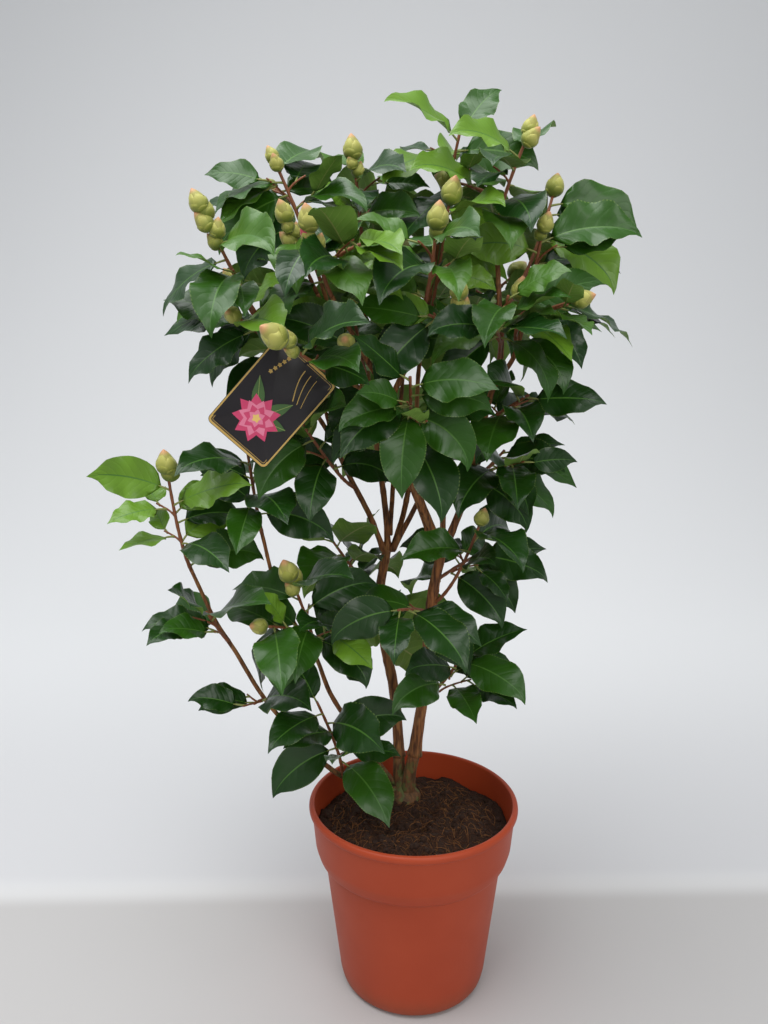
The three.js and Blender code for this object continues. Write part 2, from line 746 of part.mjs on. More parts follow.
// Cuts a solid clear of every wooden piece that it meets, and drops slivers.
function cutClear(solid) {
  let left = solid;
  for (const grown of kept.values()) left = left.subtract(grown);
  return biggest(left.simplify(0.02));
}

function lathe(profile) {
  const points = profile.map(([radius, z]) => new THREE.Vector2(radius, z));
  return geometryOf(solidOf(new THREE.LatheGeometry(points, POT.sides).rotateX(Math.PI / 2)));
}

// The pot is a shell closed at its floor. The soil fills it a gap away from its wall.
function addPot() {
  const { height, lipHeight, lipRadius, collarTop, collarFoot, collarFootZ, wall, floor } = POT;
  const { waist, waistZ, foot, footZ, base } = POT;
  const lipFoot = height - lipHeight;
  const outside = [
    [0, 0],
    [base, 0],
    [foot - 2, footZ / 3],
    [foot, footZ],
    [waist, waistZ],
    [waist + 6, waistZ + 5],
    [collarFoot, collarFootZ],
    [collarTop, lipFoot],
    [lipRadius, lipFoot + 1.5],
    [lipRadius, height - 2],
    [lipRadius - 2, height],
  ];
  const inside = [
    [base - wall, floor],
    [foot - wall, footZ],
    [waist - wall, waistZ],
    [collarFoot - wall, collarFootZ],
    [collarTop - wall, height],
  ];
  addMesh("pot", lathe([...outside, ...inside.toReversed(), [0, floor]]), COLOUR.pot, 0.55);
  const filled = inside.slice(0, -1).map(([radius, z]) => [radius - CLEAR, z + CLEAR]);
  const top = [[collarFoot - wall, SOIL.edgeZ], [SOIL.crownRadius, SOIL.crownZ], [0, SOIL.crownZ]];
  addMesh("soil", lathe([[0, floor + CLEAR], ...filled, ...top]), COLOUR.soil, 0.95);
}

function addWood() {
  addMesh("root_crown", geometryOf(rootCrown()), COLOUR.bark, 0.8);
  kept.set("root_crown", rootCrown(CLEAR));
  for (const [name, rings] of Object.entries(limbRings)) {
    addMesh(name, geometryOf(cutClear(limbSolid(name))), COLOUR.bark, 0.8);
    kept.set(name, limbSolid(name, CLEAR));
    addRods(name, rings.map((ring) => ring.point), rings.map((ring) => ring.radius));
  }
}

// The label's card: a rectangle with round corners, set upright and turned in its own plane.
function labelCard() {
  const { long, wide, corner, thick, centre, slope } = LABEL;
  const [x, y] = [long / 2 - corner, wide / 2 - corner];
  const card = new THREE.Shape();
  [[x, y], [-x, y], [-x, -y], [x, -y]].forEach(([cx, cy], i) => {
    card.absarc(cx, cy, corner, (i * Math.PI) / 2, ((i + 1) * Math.PI) / 2);
  });
  const flat = new THREE.ExtrudeGeometry(card, { depth: thick, bevelEnabled: false, curveSegments: 3 });
  flat.translate(0, 0, -thick / 2).rotateZ(degrees(slope)).rotateX(Math.PI / 2);
  return solidOf(flat.translate(...centre));
}

// The label's strap: a band round the bough, and a tail down to the card.
function labelStrap(hook, edge) {
  const inner = hook.radius + 0.5;
  const ring = new THREE.Shape().absarc(0, 0, inner + LABEL.loopWall, 0, 2 * Math.PI);
  ring.holes.push(new THREE.Path().absarc(0, 0, inner, 0, 2 * Math.PI, true));
  const depth = LABEL.strapWidth;
  const band = new THREE.ExtrudeGeometry(ring, { depth, bevelEnabled: false, curveSegments: 4 });
  band.translate(0, 0, -depth / 2);
  band.applyQuaternion(new THREE.Quaternion().setFromUnitVectors(UP, hook.along));
  band.translate(hook.point.x, hook.point.y, hook.point.z);
  const reach = hook.point.clone().sub(edge);
  const end = moved(edge, [reach, 1 - (inner + LABEL.loopWall / 2) / reach.length()]);
  return solidOf(band).add(tube([edge, end], [1.1, 1.1], 6));
}

function addLabel() {
  const { long, wide, centre, slope, hookedOn, hookedAt } = LABEL;
  const hook = limbAt(hookedOn, hookedAt);
  const longWay = new THREE.Vector3(Math.cos(degrees(slope)), 0, Math.sin(degrees(slope)));
  const wideWay = new THREE.Vector3(-longWay.z, 0, longWay.x);
  const edge = moved(vector(centre), [longWay, long / 2 - 4]);
  addMesh("label", geometryOf(labelCard().add(labelStrap(hook, edge))), COLOUR.label, 0.4);
  addRods("label", [edge, hook.point], [2, 2]);
  const corners = [[-1, -1], [1, -1], [1, 1], [-1, 1]].map(([a, b]) =>
    moved(vector(centre), [longWay, (a * long) / 2], [wideWay, (b * wide) / 2]),
  );
  const sheet = [[corners[0], corners[1], corners[2]], [corners[0], corners[2], corners[3]]];
  const probes = corners.map((corner, i) => [corner, corners[(i + 1) % 4]]);
  sheets.push({ owner: "label", sheet, probes, centre: vector(centre) });
}

// Every mass grows its twigs and buds first. Then all grow their leaves, one on each twig in turn.
function addFoliage() {
  const grown = Object.entries(MASSES).map(([name, mass], i) => {
    const draw = seeded(FIRST_SEED + SEED_STEP * i);
    const twigs = growTwigs(mass, draw);
    const buds = [];
    for (const twig of twigs) {
      addRods(name, twig.path, twig.widths);
      buds.push(...growBuds(twig, draw));
    }
    for (const { from, way, length, radius } of buds) {
      addRods(name, [moved(from, [way, 0.3 * length]), moved(from, [way, 0.8 * length])], [radius, radius]);
    }
    return { name, twigs, buds, draw };
  });
  for (let k = 0; k < MOST_LEAVES; k++) {
    for (const { name, twigs, draw } of grown) {
      for (const twig of twigs) if (k < twig.leaves) growLeaf(twig, k, draw, name);
    }
  }
  for (const { name, twigs, buds } of grown) {
    const leaves = sheets.filter((sheet) => sheet.owner === name);
    const rodsOf = twigs.map(({ path, widths, facing }) => tube(path, widths, 3, facing));
    const solids = [...rodsOf, ...buds.map(budSolid), ...leaves.map(leafSolid)];
    addMesh(name, geometryOf(cutClear(wasm.Manifold.union(solids))), COLOUR.leaf, 0.35);
  }
}

addPot();
addWood();
addLabel();
addFoliage();

export default shrub;
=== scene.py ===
# %% [markdown]
# # A potted camellia, dressed for the camera
#
# The solid model of the plant is the frame: it says how large everything is and where it goes. Here
# each of its solids is kept or replaced by a finished piece. The plant is grown once more from the
# same sizes by the same rule, and then on into finer twigs, more leaves and real bud scales.
#
# Blender works in metres, and the plant's sizes are in millimetres, so points are scaled once, when
# they become a mesh.

import math

import bpy
import numpy as np
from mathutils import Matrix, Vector


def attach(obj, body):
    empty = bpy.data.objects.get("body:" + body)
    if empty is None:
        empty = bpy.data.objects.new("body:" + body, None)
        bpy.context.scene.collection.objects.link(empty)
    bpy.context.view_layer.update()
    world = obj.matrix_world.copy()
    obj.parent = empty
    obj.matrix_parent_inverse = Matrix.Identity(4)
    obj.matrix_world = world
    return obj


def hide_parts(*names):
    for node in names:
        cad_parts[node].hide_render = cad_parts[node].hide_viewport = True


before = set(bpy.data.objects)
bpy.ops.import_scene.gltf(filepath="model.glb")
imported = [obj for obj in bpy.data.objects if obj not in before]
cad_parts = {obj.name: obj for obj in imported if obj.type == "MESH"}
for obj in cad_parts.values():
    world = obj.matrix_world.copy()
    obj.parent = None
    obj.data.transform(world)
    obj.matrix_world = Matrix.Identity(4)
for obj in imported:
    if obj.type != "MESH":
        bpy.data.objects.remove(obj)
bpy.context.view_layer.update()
MM = 0.001
MASS_NODES = [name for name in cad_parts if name.startswith("foliage_")]
print(len(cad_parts), "nodes,", len(MASS_NODES), "of them masses of foliage")

# %% [markdown]
# ## Surfaces from grids
#
# A leaf, a twig, a pot and a bed of soil are all surfaces of two parameters. One says how far along
# we are and the other how far across or round. Modelling tools could make each by hand, but a formula
# on a whole numpy grid makes four hundred leaves as easily as one. `grid_faces` joins neighbouring
# points into quads, and `make_piece` puts any number of such shapes into one mesh.


# %% Grid faces
def grid_faces(rows, columns, closed=False):
    """Quads between neighbouring rows and columns of points that are numbered row by row."""
    row = np.arange(rows - 1)[:, None] * columns
    column = np.arange(columns if closed else columns - 1)[None, :]
    following = (column + 1) % columns
    corners = [row + column, row + following, row + following + columns, row + column + columns]
    return np.stack(corners, axis=-1).reshape(-1, 4)


def fan_faces(ring, pole, inward=False):
    """Triangles from each pair of neighbours on a ring to one pole. The -1 marks a missing fourth corner."""
    following = np.roll(ring, -1)
    first, second = (following, ring) if inward else (ring, following)
    return np.stack([first, second, np.full_like(ring, pole), np.full_like(ring, -1)], axis=-1)


# %% From shapes to one mesh
def join(shapes):
    """Lays shapes end to end: the corner numbers of each are moved up by the points before it."""
    joined = {"points": [], "faces": [], "finish": [], "uv": [], "crease": []}
    count = 0
    for shape in shapes:
        points, faces = shape["points"], shape["faces"]
        joined["points"].append(points)
        joined["faces"].append(np.where(faces >= 0, faces + count, -1))
        joined["finish"].append(np.broadcast_to(shape.get("finish", 0), len(faces)))
        joined["uv"].append(shape.get("uv", np.zeros((len(points), 2))))
        joined["crease"].append(np.broadcast_to(shape.get("crease", False), len(points)))
        count += len(points)
    return {key: np.concatenate(value) for key, value in joined.items()}


def make_piece(name, shapes, finishes, nodes=()):
    """One mesh from many shapes. It rides on the plant and stands for the named nodes of the frame.

    An edge between two crease points is sharp. Every other edge is shaded smooth."""
    whole = join(shapes)
    faces, real = whole["faces"], whole["faces"] >= 0
    mesh = bpy.data.meshes.new(name)
    mesh.from_pydata((whole["points"] * MM).tolist(), [], [row[row >= 0].tolist() for row in faces])
    mesh.polygons.foreach_set("material_index", whole["finish"].astype(np.int32))
    mesh.polygons.foreach_set("use_smooth", np.ones(len(faces), bool))
    own_map = mesh.uv_layers.new(name="Own")
    own_map.data.foreach_set("uv", whole["uv"][faces[real]].astype(np.float32).ravel())
    ends = np.zeros(len(mesh.edges) * 2, np.int32)
    mesh.edges.foreach_get("vertices", ends)
    sharp = mesh.attributes.new("sharp_edge", "BOOLEAN", "EDGE")
    sharp.data.foreach_set("value", whole["crease"][ends.reshape(-1, 2)].all(axis=1))
    for finish in finishes:
        mesh.materials.append(finish.material)
    piece = bpy.data.objects.new(name, mesh)
    bpy.context.scene.collection.objects.link(piece)
    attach(piece, "root")
    if nodes:
        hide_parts(*nodes)
    print(name, "has", int(real.sum() - 2 * len(faces)), "triangles")
    return piece


# %% [markdown]
# ## Tubes
#
# Stems, boughs, twigs and leaf stalks are a circle carried along a path. Each ring needs two
# directions square to the path. They are carried on from ring to ring instead of being worked out
# afresh, so that the skin doesn't twist. A radius that changes with the angle gives bark its relief.


# %% Tubes
def unit(vectors):
    """Vectors of length 1."""
    return vectors / np.linalg.norm(vectors, axis=-1, keepdims=True)


def carried_frames(path):
    """For each point of a path: the way along it, and two ways square to it and to each other."""
    along = unit(np.gradient(path, axis=0))
    across = np.zeros_like(path)
    side = np.array([1.0, 0.31, 0.17])
    for i, way in enumerate(along):
        side = side - way * (side @ way)
        side = side / np.linalg.norm(side)
        across[i] = side
    return along, across, np.cross(along, across)


def tube(path, radii, sides, finish=0, tip_finish=None):
    """Point = path + r (cos a across + sin a other), with r one number a ring or one a point.

    Both ends are closed by a low dome. Its own map is the angle and the distance along, in centimetres."""
    path = np.asarray(path, float)
    radii = np.asarray(radii, float)
    radii = np.broadcast_to(radii[:, None] if radii.ndim == 1 else radii, (len(path), sides))
    along, across, other = carried_frames(path)
    angle = np.linspace(0, 2 * np.pi, sides, endpoint=False)
    spokes = np.cos(angle)[None, :, None] * across[:, None] + np.sin(angle)[None, :, None] * other[:, None]
    skin = path[:, None] + radii[..., None] * spokes
    dome = 0.35 * radii[[0, -1]].mean(axis=1)[:, None]
    poles = path[[0, -1]] + dome * along[[0, -1]] * [[-1], [1]]
    count = len(path) * sides
    first, last = np.arange(sides), np.arange(count - sides, count)
    faces = [grid_faces(len(path), sides, closed=True), fan_faces(first, count, inward=True)]
    faces.append(fan_faces(last, count + 1))
    finishes = [np.full(len(part), finish) for part in faces]
    if tip_finish is not None:
        finishes[2][:] = tip_finish
    travelled = np.concatenate([[0], np.cumsum(np.linalg.norm(np.diff(path, axis=0), axis=1))]) / 10
    uv = np.stack(np.broadcast_arrays(angle[None] / (2 * np.pi), travelled[:, None]), axis=-1).reshape(-1, 2)
    return {
        "points": np.concatenate([skin.reshape(-1, 3), poles]),
        "faces": np.concatenate(faces),
        "finish": np.concatenate(finishes),
        "uv": np.concatenate([uv, [[0, 0], [0, travelled[-1]]]]),
    }


# %% [markdown]
# ## A small language for finishes
#
# A finish is a network of nodes. Written out node by node it is long and hard to read, so `Wire`
# stands for the output of a node and lets ordinary arithmetic add the Math nodes: `1 - mask * 0.5`
# reads as what it does. `Finish` holds one material. Its `node` method adds any other node, and
# `blend` mixes two colours.


# %% Wires and finishes
class Wire:
    """A number that varies over the surface: an output socket of a node."""

    def __init__(self, finish, socket):
        self.finish = finish
        self.socket = socket

    def maths(self, operation, first, second=None):
        """Adds one Math node."""
        values = {0: first} if second is None else {0: first, 1: second}
        return self.finish.node("Math", {"operation": operation}, values)["Value"]

    def __add__(self, other):
        return self.maths("ADD", self, other)

    def __sub__(self, other):
        return self.maths("SUBTRACT", self, other)

    def __rsub__(self, other):
        return self.maths("SUBTRACT", other, self)

    def __mul__(self, other):
        return self.maths("MULTIPLY", self, other)

    def __pow__(self, other):
        return self.maths("POWER", self, other)

    def __abs__(self):
        return self.maths("ABSOLUTE", self)

    __radd__ = __add__
    __rmul__ = __mul__

    def fraction(self):
        """What is left over the whole number below."""
        return self.maths("FRACT", self)

    def between(self, low, high):
        """0 at low and below, 1 at high and above, and smooth from one to the other."""
        sockets = {"Value": self, "From Min": low, "From Max": high}
        return self.finish.node("MapRange", {"interpolation_type": "SMOOTHSTEP"}, sockets)["Result"]


class Finish:
    """One material, with its Principled shader."""

    def __init__(self, name, **constants):
        self.material = bpy.data.materials.new(name)
        self.material.use_nodes = True
        self.tree = self.material.node_tree
        self.shader = next(n for n in self.tree.nodes if n.type == "BSDF_PRINCIPLED")
        for key, value in constants.items():
            self.shader.inputs[key.replace("_", " ").title().replace("Ior", "IOR")].default_value = value

    def node(self, kind, settings=None, sockets=None):
        """Adds a node: its settings first, then its sockets as numbers or wires. Gives its outputs."""
        made = self.tree.nodes.new("ShaderNode" + kind)
        for key, value in (settings or {}).items():
            setattr(made, key, value)
        for key, value in (sockets or {}).items():
            named = [s for s in made.inputs if s.enabled and s.name == key]
            socket = made.inputs[key] if isinstance(key, int) else named[0]
            if isinstance(value, Wire):
                self.tree.links.new(value.socket, socket)
            else:
                socket.default_value = value
        return {s.name: Wire(self, s) for s in made.outputs if s.enabled}

    def place(self):
        """Where a point is on the object, in metres."""
        return self.node("TexCoord")["Object"]

    def own(self):
        """The piece's own map, as two wires: across and along."""
        parts = self.node("SeparateXYZ", sockets={"Vector": self.node("UVMap", {"uv_map": "Own"})["UV"]})
        return parts["X"], parts["Y"]

    def height(self):
        """How high a point is, in metres."""
        return self.node("SeparateXYZ", sockets={"Vector": self.place()})["Z"]

    def depth(self):
        """How far back a point is, in metres."""
        return self.node("SeparateXYZ", sockets={"Vector": self.place()})["Y"]

    def noise(self, scale, detail=3.0, stretch=(1, 1, 1), roughness=0.55):
        """Cloudy noise from 0 to 1, so many clouds a metre, drawn out along an axis by stretch."""
        squeezed = tuple(1 / s for s in stretch)
        vector = self.node("Mapping", sockets={"Vector": self.place(), "Scale": squeezed})["Vector"]
        sockets = {"Vector": vector, "Scale": scale, "Detail": detail, "Roughness": roughness}
        noise = self.node("TexNoise", sockets=sockets)
        return noise.get("Fac", noise.get("Factor"))

    def blend(self, first, second, share):
        """A colour on the way from the first to the second."""
        sockets = {"Factor": share, "A": first, "B": second}
        return self.node("Mix", {"data_type": "RGBA"}, sockets)["Result"]

    def set(self, key, value):
        """Gives one socket of the shader its value."""
        if isinstance(value, Wire):
            self.tree.links.new(value.socket, self.shader.inputs[key])
        else:
            self.shader.inputs[key].default_value = value

    def relief(self, height, distance, strength=1.0):
        """Lets the light fall as if the surface stood out by height times distance, in metres."""
        sockets = {"Height": height, "Distance": distance, "Strength": strength}
        self.set("Normal", self.node("Bump", sockets=sockets)["Normal"])


def paint(red, green, blue):
    """A colour from its screen values, 0 to 255, as the light it reflects, with full cover."""
    screen = np.array([red, green, blue]) / 255
    light = np.where(screen <= 0.04045, screen / 12.92, ((screen + 0.055) / 1.055) ** 2.4)
    return (*light.tolist(), 1.0)


# %% [markdown]
# ## The pot's plastic
#
# The pot is cheap moulded polypropylene: an even terracotta, dull, with a very fine grain. A little
# cloudiness in the colour and the gloss keeps it from looking like a computer's idea of plastic, and
# dust gathers where it meets the ground.


# %% The pot's plastic
def pot_finish():
    f = Finish("pot_plastic", specular_ior_level=0.35)
    cloud = f.noise(14)
    grain = f.noise(900, detail=2)
    base = f.blend(paint(184, 72, 36), paint(164, 60, 28), cloud)
    dust = (1 - f.height().between(0.0, 0.03)) * f.noise(60) * 0.7
    f.set("Base Color", f.blend(base, paint(112, 76, 52), dust))
    f.set("Roughness", 0.42 + cloud * 0.16)
    f.relief(grain, 0.0002, 0.5)
    return f


POT_PLASTIC = pot_finish()

# %% [markdown]
# ## Bark
#
# The stems are tan to cinnamon, with a fine grain that runs along the wood and flakes off in places.
# The noise is drawn out upwards, since every stem is within forty degrees of upright. At the foot the
# bark is older, greyer and grown over with a little moss. Young twigs are smoother and redder.


# %% Bark
def bark_finish():
    f = Finish("bark")
    grain = f.noise(420, detail=4, stretch=(1, 1, 9))
    flakes = f.noise(95, detail=2, stretch=(1, 1, 3)).between(0.52, 0.62)
    brown = f.blend(paint(76, 42, 22), paint(172, 110, 62), grain.between(0.3, 0.75))
    flaked = f.blend(brown, paint(184, 130, 80), flakes * 0.5)
    foot = 1 - f.height().between(0.19, 0.25)
    old = f.blend(flaked, paint(84, 68, 44), foot * 0.6)
    moss = foot * f.noise(130).between(0.5, 0.62)
    f.set("Base Color", f.blend(old, paint(92, 106, 54), moss * 0.8))
    f.set("Roughness", 0.62 + grain * 0.25)
    f.relief(grain + flakes * 0.6, 0.0012, 0.7)
    return f


def twig_finish(name, dark, light):
    f = Finish(name)
    grain = f.noise(500, stretch=(1, 1, 4))
    f.set("Base Color", f.blend(dark, light, grain))
    f.set("Roughness", 0.45 + grain * 0.2)
    f.relief(grain, 0.0004, 0.5)
    return f


BARK = bark_finish()
TWIG_SKIN = twig_finish("young_twig", paint(106, 56, 34), paint(160, 98, 60))
GREEN_SKIN = twig_finish("green_stalk", paint(112, 122, 56), paint(160, 166, 92))
CUT_WOOD = twig_finish("cut_wood", paint(168, 140, 104), paint(206, 184, 148))

# %% [markdown]
# ## Leaf skin
#
# A camellia leaf is leathery: dark and glossy above, dull and yellow-green below. The two sides are
# separate faces with separate finishes, and so is the pale midrib. Side veins are drawn on each leaf's
# own map: a vein leaves the midrib and curves towards the tip, so lines of equal `along - 0.2 across`
# follow them, and between two veins the blade puffs up a little. Leaf colours differ from spray to
# spray, so there are a few plain greens to deal out.


# %% Leaf skin
def vein_lines(f):
    """1 on a side vein and 0 half way to the next, and the distance from the midrib, 0 to 1."""
    across, along = f.own()
    from_midrib = abs(across - 0.5) * 2
    number = (along - from_midrib * 0.17 - from_midrib**2 * 0.05) * 8.5
    return abs(number.fraction() - 0.5) * 2, from_midrib


def leaf_top(name, colour, pale, gloss):
    f = Finish(name, coat_weight=0.26, coat_roughness=0.2, specular_ior_level=0.34)
    line, out = vein_lines(f)
    vein = line**16 * (1 - out).between(0.1, 0.8)
    cloud = f.noise(26, detail=2)
    green = f.blend(f.blend(colour, pale, cloud * 0.35), pale, vein * 0.15)
    teeth = out.between(0.93, 0.99) * (f.own()[1] * 32).fraction().between(0.25, 0.75)
    f.set("Base Color", f.blend(green, paint(126, 152, 74), teeth * 0.5))
    f.set("Roughness", gloss + cloud * 0.14)
    f.relief(1 - line**3 * (1 - out * 0.4), 0.0005, 0.5)
    return f


def leaf_back(name, colour, pale):
    f = Finish(name, specular_ior_level=0.3)
    line, out = vein_lines(f)
    f.set("Base Color", f.blend(colour, pale, line**10 * (1 - out * 0.6) * 0.7))
    f.set("Roughness", 0.5 + f.noise(60) * 0.2)
    f.relief(line**6, 0.0004, 0.5)
    return f


def rib_finish(name, dark, light):
    f = Finish(name)
    f.set("Base Color", f.blend(dark, light, f.own()[1]))
    f.set("Roughness", 0.4 + f.noise(300) * 0.1)
    return f


LEAF_SKINS = [
    leaf_top("leaf_deep", paint(18, 54, 5), paint(40, 86, 17), 0.32),
    leaf_top("leaf_green", paint(34, 78, 8), paint(68, 116, 22), 0.34),
    # A bluer green for leaves high in the crown: painted sheen of the overhead light.
    leaf_top("leaf_painted_sheen", paint(20, 58, 14), paint(44, 86, 28), 0.3),
    leaf_top("leaf_young", paint(92, 136, 28), paint(134, 168, 56), 0.36),
    leaf_back("leaf_back", paint(112, 146, 62), paint(146, 170, 86)),
    leaf_back("leaf_back_young", paint(134, 168, 66), paint(168, 192, 96)),
    rib_finish("midrib", paint(84, 128, 44), paint(54, 100, 28)),
    rib_finish("midrib_back", paint(164, 172, 100), paint(140, 156, 84)),
    leaf_top("leaf_light", paint(60, 104, 22), paint(98, 138, 44), 0.35),
]
YOUNG, BACK, BACK_YOUNG, RIB, RIB_BACK, LIGHT = 3, 4, 5, 6, 7, 8

# %% [markdown]
# ## Bud scales
#
# A flower bud is wrapped in overlapping scales: olive where they are old, straw yellow towards the
# middle, brown along the rim, and flushed with pink where the petals begin to show.


# %% Bud scales
def scale_finish(name, foot, tip, rim, turn=(0.1, 0.9)):
    """A scale whose colour turns from that of its foot to that of its tip between two shares."""
    f = Finish(name, sheen_weight=0.2)
    across, along = f.own()
    body = f.blend(foot, tip, along.between(*turn))
    edge = along.between(0.9, 0.99) * 0.6 + (abs(across - 0.5) * 2).between(0.9, 1.0) * 0.4
    f.set("Base Color", f.blend(body, rim, edge * f.noise(300).between(0.3, 0.7)))
    f.set("Roughness", 0.48 + f.noise(500) * 0.15)
    f.relief(f.noise(700, stretch=(1, 1, 4)), 0.0003, 0.5)
    return f


BUD_SKINS = [
    scale_finish("bud_scale", paint(104, 120, 34), paint(162, 164, 68), paint(136, 98, 50)),
    scale_finish("bud_scale_pale", paint(136, 148, 54), paint(192, 188, 96), paint(170, 122, 74)),
    scale_finish("bud_petal", paint(168, 164, 80), paint(212, 156, 108), paint(206, 142, 108), (0.76, 0.96)),
    scale_finish("bud_petal_pink", paint(168, 164, 80), paint(222, 92, 108), paint(204, 70, 96), (0.5, 0.8)),
]

# %% [markdown]
# ## Sizes of the plant
#
# These are the sizes that the solid model was made from. Limbs are smooth curves through a few
# points with a radius at each end. A mass of foliage grows on a limb at a share of its length, and has
# a stem to a tip, side twigs to some compass bearings, leaves and buds.

# %% Sizes
POT = {
    "height": 194, "lip_radius": 107, "lip_height": 8, "collar_top": 104, "collar_foot": 100.5,
    "collar_foot_z": 150, "waist": 91, "waist_z": 134, "foot": 76, "foot_z": 12, "base": 69,
    "wall": 2.6, "floor": 4,
}
SOIL = {"crown_z": 174, "crown_radius": 62, "edge_z": 166}
CLEAR = 0.4
STALK = 9
NEXT_LEAF = 144
LEAF = {"length": 76, "width": 0.57, "thickness": 1.6, "lean": 54}
BUD = {"length": 24, "girth": 0.36, "sunk": 3}
TWIG = {"foot": 2.2, "tip": 1.6, "side": 1.8}
LABEL = {
    "hooked_on": "bough_front_left", "hooked_at": 0.62, "long": 98, "wide": 66, "corner": 5,
    "thick": 0.9, "centre": [-129, -62, 600], "slope": 48, "strap_width": 7,
}
SPINE_STEPS = 20
STATIONS = [0, 0.35, 0.7, 1]
LIFT = math.radians(20)
STEEPEST = [math.radians(64), math.radians(34)]
MIDDLE_Y = 45
MOST_LEAVES = 7

# %% [markdown]
# The limbs, from the two stems to the last shoots.

# %% Limbs
LIMBS = {
    "stem_right": {
        "points": [[3, 31, 226], [13, 25, 311], [18, 15, 395], [27, 10, 452]],
        "radii": [6.2, 5],
    },
    "stem_left": {
        "points": [[-13, 44, 218], [-17, 48, 281], [-29, 50, 350], [-33, 50, 401], [-26, 45, 447]],
        "radii": [5.8, 4.8],
    },
    "bough_front": {
        "points": [
            [27, 10, 453], [5, 0, 504], [-14, -20, 566], [-23, -30, 601], [-9, -42, 636],
            [4, -55, 684],
        ],
        "radii": [4, 1.9],
    },
    "bough_front_left": {
        "points": [[-23, -30, 602], [-39, -35, 625], [-58, -44, 658], [-76, -51, 690]],
        "radii": [2.7, 1.9],
    },
    "bough_front_low": {
        "points": [[-23, -32, 593], [-46, -50, 609], [-75, -78, 624]],
        "radii": [2.2, 1.7],
    },
    "bough_inner_left": {
        "points": [
            [22, 12, 446], [4, 14, 500], [-21, 15, 556], [-43, 15, 600], [-67, 13, 647],
            [-92, 7, 698],
        ],
        "radii": [3.4, 1.9],
    },
    "bough_upper_left": {
        "points": [[-70, 14, 654], [-90, 13, 712], [-103, 3, 752]],
        "radii": [2.2, 1.7],
    },
    "bough_pruned": {
        "points": [[28, 12, 452], [29, 14, 514]],
        "radii": [3, 2.8],
    },
    "bough_back_right": {
        "points": [[26, 15, 498], [23, 24, 531], [32, 42, 569], [38, 52, 615], [46, 60, 655]],
        "radii": [2.4, 1.9],
    },
    "bough_right": {
        "points": [
            [30, 10, 453], [49, 5, 507], [60, 0, 556], [67, -5, 593], [79, -5, 640], [77, 0, 692],
            [74, 4, 744],
        ],
        "radii": [4, 2],
    },
    "bough_right_outer": {
        "points": [[72, -5, 612], [91, -10, 642], [101, -10, 686]],
        "radii": [2.4, 1.8],
    },
    "bough_left": {
        "points": [
            [-30, 45, 447], [-45, 40, 485], [-62, 30, 520], [-85, 10, 571], [-109, 0, 610],
            [-146, -24, 678],
        ],
        "radii": [3, 1.8],
    },
    "bough_centre": {
        "points": [
            [-25, 45, 448], [-28, 50, 491], [-36, 55, 550], [-43, 60, 599], [-48, 59, 670],
            [-50, 54, 742],
        ],
        "radii": [3.3, 1.9],
    },
    "bough_back": {
        "points": [[-23, 50, 462], [-20, 62, 500], [-16, 80, 546], [-10, 92, 600], [-6, 96, 650]],
        "radii": [2.7, 1.9],
    },
    "bough_peak": {
        "points": [[-19, 47, 448], [-6, 60, 492], [4, 68, 557], [8, 66, 639], [28, 46, 776]],
        "radii": [3.2, 1.8],
    },
    "bough_inner_right": {
        "points": [[-20, 42, 447], [4, 34, 496], [14, 26, 530], [26, 8, 580], [36, -12, 628]],
        "radii": [2.7, 1.8],
    },
    "shoot_left": {
        "points": [
            [-16, 33, 184], [-45, 22, 197], [-71, 15, 209], [-94, 10, 229], [-118, 5, 259],
            [-151, 0, 304], [-175, -5, 351], [-195, -10, 389], [-215, -15, 440],
        ],
        "radii": [2.8, 1.8],
    },
    "shoot_inner": {
        "points": [
            [-18, 41, 188], [-50, 37, 235], [-83, 25, 293], [-100, 15, 343], [-119, 10, 377],
            [-138, 10, 419], [-149, 5, 470],
        ],
        "radii": [2.6, 1.8],
    },
}
print(len(LIMBS), "limbs")

# %% [markdown]
# The masses, in the order in which they grow.

